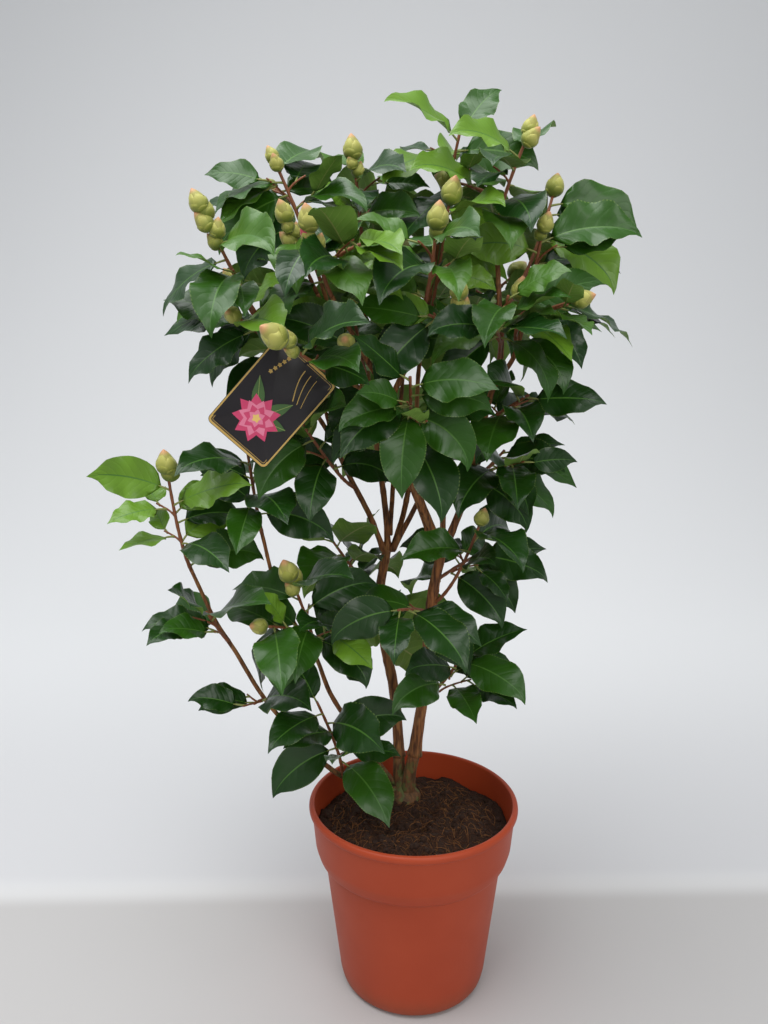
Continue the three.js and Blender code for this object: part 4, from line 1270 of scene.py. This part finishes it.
def leaf_shape(leaves, seed):
    """Both skins of every leaf as one shape, with a skin for each face and a map for each leaf."""
    points, spine, shares = blades(leaves, seed)
    count, ring = len(leaves), len(RING_ACROSS)
    inner = points[:, 1:-1].reshape(count, -1, 3)
    rows = ROWS - 2
    poles = spine[:, [0, -1]]
    each = np.concatenate([inner, poles], axis=1)
    first = np.arange(ring)
    faces = [halved(grid_faces(rows, ring, closed=True), np.tile(np.char.find(QUAD_SKIN, "back") >= 0, rows - 1))]
    faces.append(fan_faces(first, rows * ring, inward=True))
    faces.append(fan_faces(first + (rows - 1) * ring, rows * ring + 1))
    faces = np.concatenate(faces)
    skins = np.concatenate([np.repeat(np.tile(QUAD_SKIN, rows - 1), 2), QUAD_SKIN, QUAD_SKIN])
    top = column(leaves, "skin")[:, None]
    back = np.where(top == YOUNG, BACK_YOUNG, BACK)
    finish = np.select([skins == "top", skins == "rib", skins == "rib_back"], [top, RIB, RIB_BACK], back)
    shift = np.arange(count)[:, None, None] * each.shape[1]
    across = np.tile((RING_ACROSS + 1) / 2, rows)
    along = np.repeat(shares[1:-1], ring)
    own = np.concatenate([np.stack([across, along], axis=-1), [[0.5, 0], [0.5, 1]]])
    rim = np.concatenate([np.tile(np.abs(RING_ACROSS) == 1, rows), [False, True]])
    return {
        "points": each.reshape(-1, 3),
        "faces": np.where(faces >= 0, faces + shift, -1).reshape(-1, 4),
        "finish": finish.reshape(-1),
        "uv": np.tile(own, (count, 1)),
        "crease": np.tile(rim, count),
    }


# %% [markdown]
# The leaves of one spray share a green. Among those high in the crown a bluer green takes the place of the deep one, as
# painted sheen of the overhead light, and a few sprays at the ends of the twigs are young and bright. Two pieces hold
# them, the crown and what grows below it.

# %% Leaves in the mesh
YOUNG_MASSES = {"foliage_high_front": 3, "foliage_left_tip": 3, "foliage_front_left": 1, "foliage_inner_low": 1}
for number, mass in enumerate(masses):
    draw = seeded(911 + 37 * number)
    for leaf in mass["leaves"]:
        chance, high = draw(0, 1), leaf["neck"][2] > 660
        # High in the crown, skin 2 is a bluer green that stands for the sheen of the overhead light: painted sheen.
        leaf["skin"] = (2 if high else 0) if chance < 0.36 else 1 if chance < 0.72 else LIGHT if high else 0
        if chance > 0.88 and high:
            leaf["skin"] = YOUNG
        if leaf["rank"] < YOUNG_MASSES.get(mass["name"], 0):
            leaf["skin"] = YOUNG
crown = [leaf for leaf in all_leaves if leaf["neck"][2] > 560]
lower = [leaf for leaf in all_leaves if leaf["neck"][2] <= 560]
make_piece("leaves_crown", [leaf_shape(crown, 5)], LEAF_SKINS, MASS_NODES)
make_piece("leaves_lower", [leaf_shape(lower, 6)], LEAF_SKINS, MASS_NODES)

# %% [markdown]
# ## Twigs and stalks
#
# A twig is a tube along its curve, swollen a little at low knots along it. Its foot starts in the heart of
# its bough. A leaf stalk is a short tube that bends up into the blade.


# %% Twigs and stalks
def twig_tube(twig):
    """A tube along the twig's own curve, thinner to its tip, with a low knot every centimetre."""
    start, heading, tip = twig["curve"]
    length = np.linalg.norm(tip - start)
    steps = max(8, int(length / 6))
    path = twig_path(start, heading, tip, steps)
    share = np.linspace(0, 1, steps + 1)
    knots = 1 + 0.16 * (np.arange(steps + 1) % 2)
    radii = np.interp(share, [0, 1], [twig["radii"][0] * 0.86, twig["radii"][1] * 0.8]) * knots
    return tube(path, radii, 7)


def stalk_tube(leaf):
    """From inside the twig to a little way into the blade, thicker at its foot."""
    foot, neck = leaf["foot"], leaf["neck"]
    onward = np.array([math.cos(leaf["turn"]), math.sin(leaf["turn"]), 0]) * math.cos(leaf["rise"])
    onward = onward + UP * math.sin(leaf["rise"])
    path = twig_path(foot, unit(neck - foot + UP * 1.5), neck + onward * 3, 4)
    return tube(path, [1.35, 1.1, 1.0, 0.95, 0.5], 6, finish=1)


twig_shapes = [twig_tube(twig) for mass in masses for twig in mass["twigs"]]
twig_shapes += [stalk_tube(leaf) for leaf in all_leaves]
make_piece("twigs", twig_shapes, [TWIG_SKIN, GREEN_SKIN], MASS_NODES)

# %% [markdown]
# ## Flower buds
#
# A bud is a pointed egg. One closed egg makes the petals inside, and over it lie eight scales, the
# lowest ones short and the inner ones long, each turned two fifths of a circle from the last. A
# scale is a patch of the same egg, lifted a little, whose rim sinks back into the egg.

# %% Buds
EGG_SIDES = 10
SCALE_TOPS = [0.3, 0.4, 0.52, 0.62, 0.72, 0.8, 0.88, 0.94]


def egg_radius(share):
    """How thick a bud is at a share of its length: widest at two fifths, with a pointed tip."""
    return np.sin(np.pi * np.clip(share, 0, 1) ** 0.76) ** 0.72


def bud_shapes(bud, finish):
    """The egg and its scales round the bud's own axis."""
    way, length, radius = bud["way"], bud["length"], bud["radius"]
    side = unit(np.cross(way, [0.3, 0.2, 1.0]))
    other = np.cross(way, side)

    def placed(share, angle, lift):
        r = (radius * egg_radius(share) + lift)[..., None]
        return bud["foot"] + share[..., None] * length * way + r * (
            np.cos(angle)[..., None] * side + np.sin(angle)[..., None] * other)

    shares = np.linspace(0.04, 0.96, 10)
    angle = np.linspace(0, 2 * np.pi, EGG_SIDES, endpoint=False)
    skin = placed(*np.broadcast_arrays(shares[:, None], angle[None], np.full((1, 1), -0.3)))
    count = skin.shape[0] * EGG_SIDES
    poles = np.array([bud["foot"], bud["foot"] + way * length])
    ring = np.arange(EGG_SIDES)
    egg = {
        "points": np.concatenate([skin.reshape(-1, 3), poles]),
        "faces": np.concatenate([
            grid_faces(10, EGG_SIDES, closed=True),
            fan_faces(ring, count, inward=True),
            fan_faces(ring + count - EGG_SIDES, count + 1),
        ]),
        "finish": 2 + (finish == 3),
        "uv": np.concatenate([np.stack(np.broadcast_arrays(0.5, shares[:, None] + 0 * angle[None]), -1).reshape(-1, 2), [[0.5, 0], [0.5, 1]]]),
    }
    shapes = [egg]
    rows, columns = np.linspace(0, 1, 6)[:, None], np.linspace(-1, 1, 7)[None]
    for k, top in enumerate(SCALE_TOPS):
        middle = k * 0.8 * np.pi + bud["spin"]
        half = 1.25 * np.sqrt(np.maximum(0, 1 - rows**2.6)) + 0.05
        share = 0.02 + (top - 0.02) * rows * (1 - 0.12 * columns**2)
        rim = np.maximum(np.abs(columns) ** 6, rows**9)
        lift = 0.9 - 0.1 * k - 1.1 * rim
        patch = placed(*np.broadcast_arrays(share, middle + half * columns, lift))
        own = np.stack(np.broadcast_arrays((columns + 1) / 2, rows), axis=-1).reshape(-1, 2)
        pale = 1 if k >= 5 else 0
        shapes.append({"points": patch.reshape(-1, 3), "faces": grid_faces(6, 7), "finish": pale, "uv": own})
    return shapes


draw = seeded(2203)
bud_parts = []
all_buds = [bud for mass in masses for bud in mass["buds"]]
for bud in all_buds:
    bud["spin"] = draw(0, 6.28)
    shown = draw(0.7, 1.0)
    bud_parts += bud_shapes({**bud, "length": bud["length"] * shown, "radius": bud["radius"] * shown},
                            3 if draw(0, 1) < 0.05 else 2)
make_piece("flower_buds", bud_parts, BUD_SKINS, MASS_NODES)
print(len(all_buds), "buds")

# %% [markdown]
# ## Stems and boughs
#
# Each limb is one tube with the relief of bark. The relief is a sum of low waves round the limb that
# run slowly along it, as the grain of the wood does, and of rings where leaves once sat. A limb swells
# where it leaves its parent.


# %% Limbs with bark
def bark_relief(angle, travelled, rng):
    """A sum of waves a sin(n angle + m travelled + phase): few waves round, and long ones along."""
    relief = np.zeros(np.broadcast(angle, travelled).shape)
    for n, m, amount in ((2, 0.04, 0.05), (3, 0.11, 0.035), (5, 0.06, 0.03), (8, 0.16, 0.02), (1, 0.31, 0.02)):
        relief += amount * np.sin(n * angle + m * travelled * rng.choice([-1, 1]) + rng.uniform(0, 6.28))
    return relief


def heart_of(name, start):
    """The nearest place in the middle of the wood that a limb grows from, or none."""
    others = [smooth_curve(limb["points"], np.linspace(0.08, 1, 60)) for key, limb in LIMBS.items() if key != name]
    others = np.concatenate(others)
    gap = np.linalg.norm(others - np.asarray(start, float), axis=1)
    return others[gap.argmin()] if gap.min() < 16 else None


def limb_tube(points, radii, seed, sides=16, flare=0.35, cut=False, heart=None):
    """A tube along a smooth curve: r = radius (1 + relief + scars + flare e^(-travelled / 7)). It is
    drawn on to the heart of the wood that it grows from."""
    rng = np.random.default_rng(seed)
    length = np.linalg.norm(np.diff(np.asarray(points, float), axis=0), axis=1).sum()
    shares = np.linspace(0, 1, max(12, int(length / 3.5)))
    path = smooth_curve(points, shares)
    travelled = shares[:, None] * length
    angle = np.linspace(0, 2 * np.pi, sides, endpoint=False)[None]
    scars = sum(0.1 * np.exp(-((travelled - at) / 2.2) ** 2) for at in rng.uniform(0, length, int(length / 42)))
    grown = 1 + bark_relief(angle, travelled, rng) + scars + flare * np.exp(-travelled / 7)
    base = np.interp(shares, np.linspace(0, 1, len(radii)), radii)[:, None]
    rings = base * grown
    if heart is not None:
        path = np.concatenate([path[0] + np.array([[0.9], [0.45]]) * (heart - path[0]), path])
        rings = np.concatenate([rings[[0, 0]], rings])
    return tube(path, rings, sides, tip_finish=1 if cut else None)


limb_shapes = []
for i, (name, limb) in enumerate(LIMBS.items()):
    heart = heart_of(name, limb["points"][0])
    shape = limb_tube(limb["points"], limb["radii"], 300 + i, cut=name == "bough_pruned", heart=heart)
    limb_shapes.append((name, shape))
for name, shape in limb_shapes:
    make_piece("wood_" + name, [shape], [BARK, CUT_WOOD], [name])

# %% [markdown]
# ## The root crown
#
# Below the stems the wood spreads into a flared foot. Two legs come out of it, one to each stem, with
# a stub that was cut back long ago.

# %% Root crown
ground = SOIL["crown_z"] + 0.3
crown_shapes = [
    limb_tube([[-8, 37, ground - 6], [-8, 37, ground + 3], [-8, 37.5, 187], [-7, 37, 199]], [21, 17, 10, 6], 401, 20, 0),
    limb_tube([[-5, 34.5, 178], [-2, 33, 202], [3, 31, 226]], [8.6, 7, 6.4], 402, flare=0),
    limb_tube([[-11, 40, 178], [-12.5, 42, 200], [-13, 44, 219]], [8, 6.6, 6.0], 403, flare=0),
    limb_tube([[-14, 36, ground], [-25, 34, 186], [-34, 32, 199]], [3.6, 2.8, 2.5], 404, 10, cut=True),
]
make_piece("wood_root_crown", crown_shapes, [BARK, CUT_WOOD], ["root_crown"])


# %% [markdown]
# ## The soil
#
# The shrub stands in dark peat with coconut fibre, rough and a little humped. The bed is a disc of
# rings, raised and lowered by smooth value noise: chances on a grid, blended in between. Crumbs and
# fibres on top of it break the light up, as the real ones do.


# %% Soil skin
def value_noise(x, y, size, rng):
    """Smooth noise from 0 to 1: chances at the corners of squares of a size, blended inside them by
    t^2 (3 - 2 t) both ways."""
    corners = rng.random((64, 64))
    px, py = x / size + 31, y / size + 31
    i, j = px.astype(int), py.astype(int)
    tx, ty = (t * t * (3 - 2 * t) for t in (px - i, py - j))
    near = corners[i, j] * (1 - tx) + corners[i + 1, j] * tx
    far = corners[i, j + 1] * (1 - tx) + corners[i + 1, j + 1] * tx
    return near * (1 - ty) + far * ty


def soil_height(x, y):
    """The bed falls from its crown to the wall, with humps of 24, 10 and 4 mm that fade out at the
    foot of the shrub, where the soil is drawn up a little."""
    rng = np.random.default_rng(77)
    radius = np.hypot(x, y)
    base = np.interp(radius, [SOIL["crown_radius"], 98], [SOIL["crown_z"], SOIL["edge_z"]])
    humps = sum(a * (value_noise(x, y, s, rng) - 0.5) for s, a in ((24, 7), (10, 6), (4, 3.2)))
    near = np.exp(-(((x + 8) / 26) ** 2 + ((y - 37) / 26) ** 2))
    return base + humps * (1 - near) + 2.6 * near - 1.2


def soil_finish():
    f = Finish("soil")
    crumb, cloud = f.noise(420, detail=4), f.noise(50)
    brown = f.blend(paint(20, 12, 8), paint(78, 46, 26), crumb)
    f.set("Base Color", f.blend(brown, paint(46, 26, 14), cloud * 0.6))
    f.set("Roughness", 0.85 + crumb * 0.1)
    f.relief(crumb, 0.003, 0.9)
    return f


def fibre_finish(name, dark, light):
    f = Finish(name)
    f.set("Base Color", f.blend(dark, light, f.noise(260)))
    f.set("Roughness", 0.7 + f.noise(500) * 0.2)
    return f


SOIL_SKINS = [
    soil_finish(),
    fibre_finish("coir_gold", paint(104, 62, 28), paint(156, 104, 56)),
    fibre_finish("coir_brown", paint(54, 30, 14), paint(96, 56, 28)),
]

# %% Soil bed
bed_radii = np.linspace(0.6, POT["collar_foot"] + 1.0 - POT["wall"] - CLEAR, 44)
bed_angle = np.linspace(0, 2 * np.pi, 150, endpoint=False)
bx, by = bed_radii[:, None] * np.cos(bed_angle), bed_radii[:, None] * np.sin(bed_angle)
bed = np.stack([bx, by, soil_height(bx, by)], axis=-1).reshape(-1, 3)
skirt = np.stack([bx[-1] * 0.95, by[-1] * 0.95, np.full(150, SOIL["edge_z"] - 14.0)], axis=-1)
foot_pole, top_pole = [[0, 0, SOIL["edge_z"] - 14.0]], [[0, 0, float(soil_height(np.zeros(1), np.zeros(1))[0])]]
ring = np.arange(150)
soil_shapes = [{
    "points": np.concatenate([bed, skirt, foot_pole, top_pole]),
    "faces": np.concatenate([
        grid_faces(45, 150, closed=True)[:, ::-1],
        fan_faces(ring + 44 * 150, 45 * 150, inward=True),
        fan_faces(ring, 45 * 150 + 1),
    ]),
}]
# %% Crumbs and fibres
rng = np.random.default_rng(91)


def crumb(x, y, size):
    """A lump: an egg of 6 rings by 7 points with uneven radii, half sunk in the bed."""
    z = float(soil_height(np.array([x]), np.array([y]))[0])
    height = np.linspace(-0.85, 0.85, 5)
    path = np.array([x, y, z]) + np.outer(height * size, unit(rng.normal(0, 1, 3)))
    radii = size * np.sqrt(1 - height**2)[:, None] * rng.uniform(0.65, 1.15, (5, 7))
    return tube(path, radii, 7)


def fibre(x, y, length, thick, finish):
    """A thread that lies on the bed along a curve: its bearing turns evenly and its height wavers."""
    bearing, bend = rng.uniform(0, 6.28), rng.normal(0, 1.4)
    turn = bearing + bend * np.linspace(0, 1, 8)
    step = np.stack([np.cos(turn), np.sin(turn)], axis=-1) * length / 8
    xy = np.array([x, y]) + np.cumsum(step, axis=0) - step.sum(axis=0) / 2
    z = soil_height(xy[:, 0], xy[:, 1]) + thick + np.abs(rng.normal(0, 1.2)) * np.sin(np.linspace(0, 3.14, 8))
    return tube(np.column_stack([xy, z]), thick, 4, finish=finish)


def on_bed(reach):
    """A chance place on the bed, evenly spread."""
    radius, angle = reach * math.sqrt(rng.random()), rng.uniform(0, 2 * math.pi)
    return radius * math.cos(angle), radius * math.sin(angle)


soil_shapes += [crumb(*on_bed(92), rng.uniform(1.2, 3.6)) for _ in range(420)]
soil_shapes += [fibre(*on_bed(84), rng.uniform(6, 28), rng.uniform(0.14, 0.36), 1 + (rng.random() < 0.7)) for _ in range(1300)]
make_piece("soil_bed", soil_shapes, SOIL_SKINS, ["soil"])

# %% [markdown]
# ## The pot
#
# The pot is turned about its axis, like something made on a wheel: one profile, carried round a full
# circle. Moulded plastic has no knife edges, so each corner of the profile is rounded by a small
# quadratic arc before it is turned.


# %% Pot
def rounded(profile, reach):
    """Replaces each corner by four points of a quadratic arc that starts and ends a reach away."""
    p = np.asarray(profile, float)
    before, after = np.roll(p, 1, axis=0) - p, np.roll(p, -1, axis=0) - p
    step = [np.minimum(reach, 0.42 * np.linalg.norm(d, axis=1, keepdims=True)) * unit(d) for d in (before, after)]
    t = np.linspace(0, 1, 4)[:, None, None]
    arc = (p + step[0]) * (1 - t) ** 2 + p * 2 * t * (1 - t) + (p + step[1]) * t**2
    return arc.transpose(1, 0, 2).reshape(-1, 2)


def turned(profile, sides):
    """Point = (r cos a, r sin a, z), for a closed profile carried round the axis."""
    angle = np.linspace(0, 2 * np.pi, sides, endpoint=False)
    radius, z = profile[:, 0, None], profile[:, 1, None]
    points = np.stack(np.broadcast_arrays(radius * np.cos(angle), radius * np.sin(angle), z), axis=-1)
    ring = grid_faces(len(profile) + 1, sides, closed=True) % (len(profile) * sides)
    return {"points": points.reshape(-1, 3), "faces": ring}


lip_foot = POT["height"] - POT["lip_height"]
pot_outside = [
    (POT["base"], 0), (POT["foot"] - 2, POT["foot_z"] / 3), (POT["foot"], POT["foot_z"]),
    (POT["waist"], POT["waist_z"]), (POT["waist"] + 6, POT["waist_z"] + 5),
    (POT["collar_foot"], POT["collar_foot_z"]), (POT["collar_top"], lip_foot),
    (POT["lip_radius"], lip_foot + 1.5), (POT["lip_radius"], POT["height"] - 2),
    (POT["lip_radius"] - 2, POT["height"]),
]
pot_inside = [
    (POT["collar_top"] - POT["wall"], POT["height"]), (POT["collar_foot"] - POT["wall"], POT["collar_foot_z"]),
    (POT["waist"] - POT["wall"], POT["waist_z"]), (POT["foot"] - POT["wall"], POT["foot_z"]),
    (POT["base"] - POT["wall"], POT["floor"]), (0.5, POT["floor"]), (0.5, 0),
]
pot_profile = rounded(pot_outside + pot_inside, 2.2)
make_piece("plant_pot", [turned(pot_profile, 144)], [POT_PLASTIC], ["pot"])

# %% [markdown]
# ## The label
#
# A printed card hangs from a bough on a strap. Its face is black with a gold border and a flower. The
# flower here is a plain rosette of our own. Each printed shape is a thin flat patch on the card, given
# by its outline, so that it keeps a clean edge and needs no picture.


# %% Card finishes
def print_finish(name, colour, other, gloss=0.34):
    f = Finish(name)
    f.set("Base Color", f.blend(colour, other, f.noise(120)))
    f.set("Roughness", gloss + f.noise(40) * 0.1)
    return f


CARD_SKINS = [
    print_finish("card_black", paint(24, 20, 24), paint(34, 28, 32)),
    print_finish("card_gold", paint(196, 160, 84), paint(214, 180, 104), 0.3),
    print_finish("card_pink", paint(206, 54, 100), paint(224, 86, 126)),
    print_finish("card_rose", paint(232, 112, 148), paint(242, 150, 176)),
    print_finish("card_yellow", paint(238, 190, 92), paint(246, 214, 130)),
    print_finish("card_green", paint(58, 92, 48), paint(84, 118, 62)),
    print_finish("card_leaf_line", paint(140, 160, 84), paint(160, 178, 100)),
    print_finish("strap_black", paint(28, 26, 28), paint(40, 38, 40), 0.5),
]


# %% Card shapes
def card_points(across, lift, up):
    """From the card's own directions to the plant's. The card bows a little: lift - across^2 / 1500."""
    bow = -(across**2) / 1500
    return label_centre + np.multiply.outer(across, LONG_WAY) + np.multiply.outer(up, WIDE_WAY) + (
        np.multiply.outer(lift + bow, np.array([0.0, -1.0, 0.0])))


def round_card(inset):
    """The outline of the card, drawn in from its rim by an inset: four quarter circles of 8 points."""
    corner = max(LABEL["corner"] - inset, 1.2)
    x, y = LABEL["long"] / 2 - inset - corner, LABEL["wide"] / 2 - inset - corner
    turn = np.linspace(0, np.pi / 2, 8)
    parts = [
        np.column_stack([sx * x + corner * np.cos(turn + q), sy * y + corner * np.sin(turn + q)])
        for (sx, sy), q in zip(((1, 1), (-1, 1), (-1, -1), (1, -1)), np.arange(4) * np.pi / 2)
    ]
    return np.concatenate(parts)


def band(outer, inner, lift, finish):
    """A flat band between two outlines with the same number of points."""
    both = np.concatenate([outer, inner])
    points = card_points(both[:, 0], np.full(len(both), lift), both[:, 1])
    return {"points": points, "faces": grid_faces(2, len(outer), closed=True), "finish": finish}


def patch(outline, lift, finish):
    """A flat patch: triangles from its middle to its outline."""
    ring = np.concatenate([outline, [outline.mean(axis=0)]])
    points = card_points(ring[:, 0], np.full(len(ring), lift), ring[:, 1])
    return {"points": points, "faces": fan_faces(np.arange(len(outline)), len(outline)), "finish": finish}


def petal(middle, bearing, near, far, width):
    """A rounded petal: its half width is width sin(pi t^0.7) at a share t of the way out."""
    t = np.linspace(0, 1, 9)
    half = width * np.sin(np.pi * t**0.7) + 0.05
    out = near + (far - near) * t
    along = np.concatenate([out, out[::-1]])
    side = np.concatenate([half, -half[::-1]])
    c, s = math.cos(bearing), math.sin(bearing)
    return np.column_stack([middle[0] + along * c - side * s, middle[1] + along * s + side * c])


def stroke(points, width, lift, finish):
    """A printed line of even width along a path."""
    way = unit(np.gradient(points, axis=0))
    side = np.column_stack([-way[:, 1], way[:, 0]]) * width / 2
    both = np.concatenate([points - side, points + side])
    flat = card_points(both[:, 0], np.full(len(both), lift), both[:, 1])
    return {"points": flat, "faces": grid_faces(2, len(points)), "finish": finish}


# %% The card and its print
face = LABEL["thick"] / 2
sides = [card_points(*np.array([[x, lift, y] for x, y in round_card(i)]).T)
         for i, lift in ((0.4, -face), (0, -face + 0.2), (0, face - 0.2), (0.4, face))]
count = len(sides[0])
card = {
    "points": np.concatenate(sides + [card_points(*np.array([[0.0, lift, 0.0]]).T) for lift in (-face, face)]),
    "faces": np.concatenate([
        grid_faces(4, count, closed=True),
        fan_faces(np.arange(count), 4 * count, inward=True),
        fan_faces(np.arange(count) + 3 * count, 4 * count + 1),
    ]),
}
card_shapes = [card, band(round_card(0.5), round_card(2.5), face + 0.06, 1)]
card_shapes.append(band(round_card(3.6), round_card(4.0), face + 0.06, 1))
bloom = np.array([-19.0, 1.0])
for bearing, far in ((0.62, 37), (-0.5, 34), (-1.25, 27)):
    leaf_end = bloom + np.array([math.cos(bearing), math.sin(bearing)]) * far
    card_shapes.append(patch(petal(bloom, bearing, 8, far, 5.6), face + 0.07, 5))
    card_shapes.append(stroke(np.linspace(bloom, leaf_end, 6), 0.45, face + 0.09, 6))
rings = ((9, 0.0, 21.5, 6.6, 2), (8, 0.3, 16.5, 5.4, 3), (7, 0.1, 12, 4.2, 2), (6, 0.5, 8, 3, 3), (5, 0.2, 4.2, 1.7, 4))
for level, (count, offset, far, width, finish) in enumerate(rings):
    for i, bearing in enumerate(offset + np.arange(count) * 2 * np.pi / count):
        lift = face + 0.11 + 0.06 * level + 0.005 * i
        card_shapes.append(patch(petal(bloom, bearing, 0, far, width), lift, finish))
sweep = np.linspace(0, 1, 20)
for k in range(3):
    arc = np.column_stack([13 + 27 * sweep, -13 - 4.5 * k + (9 - 2 * k) * np.sin(0.5 * np.pi * sweep)])
    card_shapes.append(stroke(arc, 0.9 - 0.2 * k, face + 0.07, 1))
for k in range(5):
    spot = (20.0 + 4.6 * k, 18.0 - 1.2 * k)
    card_shapes += [patch(petal(spot, a, 0, 2.1, 0.8), face + 0.07, 1) for a in np.arange(5) * 2 * np.pi / 5]

# %% The strap
strap_way = unit(hook_point - card_edge)
strap_end = hook_point - strap_way * (hook_radius + 1.0)
flat = np.linspace(0, 1, 12)[:, None]
strap_path = card_edge + (strap_end - card_edge) * flat + UP * (-2.2 * np.sin(np.pi * flat))
loop_side = unit(np.cross(hook_along, [0.2, 0.1, 1.0]))
loop_other = np.cross(hook_along, loop_side)
turn = np.linspace(0, 2 * np.pi, 25)[:, None]
loop_path = hook_point + (hook_radius + 1.1) * (np.cos(turn) * loop_side + np.sin(turn) * loop_other)
strap_shapes = [tube(strap_path, 1.05, 8, finish=7)]
for lane in np.linspace(-2.6, 2.6, 5):
    strap_shapes.append(tube(loop_path + hook_along * lane, 0.75, 6, finish=7))
make_piece("plant_label", card_shapes + strap_shapes, CARD_SKINS, ["label"])

# %% [markdown]
# ## Floor, light and camera
#
# The plant stands on a pale floor that curves up into a pale wall, so that there is no hard line
# behind it. A wide soft light overhead gives the leaves their sheen, a second one from the front
# keeps the pot and the lower leaves from going dark, and the air is filled with a dim even light.


# %% Floor and wall
def sweep_finish():
    f = Finish("backdrop_paper")
    # The wall is painted brighter the further back it stands: painted light against the falloff of the lamps.
    far = f.blend(paint(214, 214, 216), paint(238, 239, 240), f.depth().between(0.16, 1.0))
    # A painted light band across the paper where the floor turns up into the wall.
    band = f.depth().between(0.1, 0.13) * (1 - f.depth().between(0.13, 0.17))
    # The floor in front of the band is painted darker: painted shade.
    low = f.blend(paint(198, 196, 195), far, f.depth().between(0.12, 0.15))
    f.set("Base Color", f.blend(low, paint(226, 226, 226), band * 0.7))
    f.set("Roughness", 0.8 + f.noise(4) * 0.1)
    return f


angle = np.linspace(0, np.pi / 2, 24)
depth = np.concatenate([[-3.0], 0.5 + 1.9 * np.sin(angle), [2.4]])
rise = np.concatenate([[0.0], 1.9 - 1.9 * np.cos(angle), [4.2]])
wide = np.array([-4.0, 4.0])
paper = np.stack(np.broadcast_arrays(wide[None], depth[:, None], rise[:, None] - 0.0004), axis=-1) / MM
mesh = bpy.data.meshes.new("backdrop")
mesh.from_pydata((paper.reshape(-1, 3) * MM).tolist(), [], grid_faces(len(depth), 2).tolist())
mesh.polygons.foreach_set("use_smooth", np.ones(len(mesh.polygons), bool))
mesh.materials.append(sweep_finish().material)
backdrop = bpy.data.objects.new("backdrop", mesh)
bpy.context.scene.collection.objects.link(backdrop)


# %% Light
def soft_light(name, place, aim, size, power, colour=(1, 1, 1)):
    """A square area light that looks at a point."""
    lamp = bpy.data.lights.new(name, "AREA")
    lamp.shape, lamp.size, lamp.energy, lamp.color = "SQUARE", size, power, colour
    holder = bpy.data.objects.new(name, lamp)
    bpy.context.scene.collection.objects.link(holder)
    toward = Vector(aim) - Vector(place)
    holder.location = place
    holder.rotation_euler = toward.to_track_quat("-Z", "Y").to_euler()
    return holder


soft_light("overhead", (-0.5, -0.3, 2.3), (0, 0, 0.5), 1.8, 42, (0.98, 0.99, 1.0))
soft_light("front", (0.9, -2.0, 1.5), (0, 0, 0.4), 1.4, 17, (1.0, 0.99, 0.97))
world = bpy.data.worlds.new("air")
world.use_nodes = True
world.node_tree.nodes["Background"].inputs["Color"].default_value = (0.88, 0.9, 0.93, 1)
world.node_tree.nodes["Background"].inputs["Strength"].default_value = 0.42
bpy.context.scene.world = world
bpy.context.scene.view_settings.view_transform = "Standard"

# %% Camera
camera = bpy.data.objects.new("camera", bpy.data.cameras.new("camera"))
bpy.context.scene.collection.objects.link(camera)
camera.data.sensor_width = 36
camera.data.lens = 36 * 800.3 / 1024
camera.location = (-0.0465, -0.7641, 0.6232)
pitch, yaw = math.radians(9.68), math.radians(1.23)
aim = Vector((math.sin(yaw) * math.cos(pitch), math.cos(yaw) * math.cos(pitch), -math.sin(pitch)))
camera.rotation_euler = aim.to_track_quat("-Z", "Y").to_euler()
bpy.context.scene.camera = camera
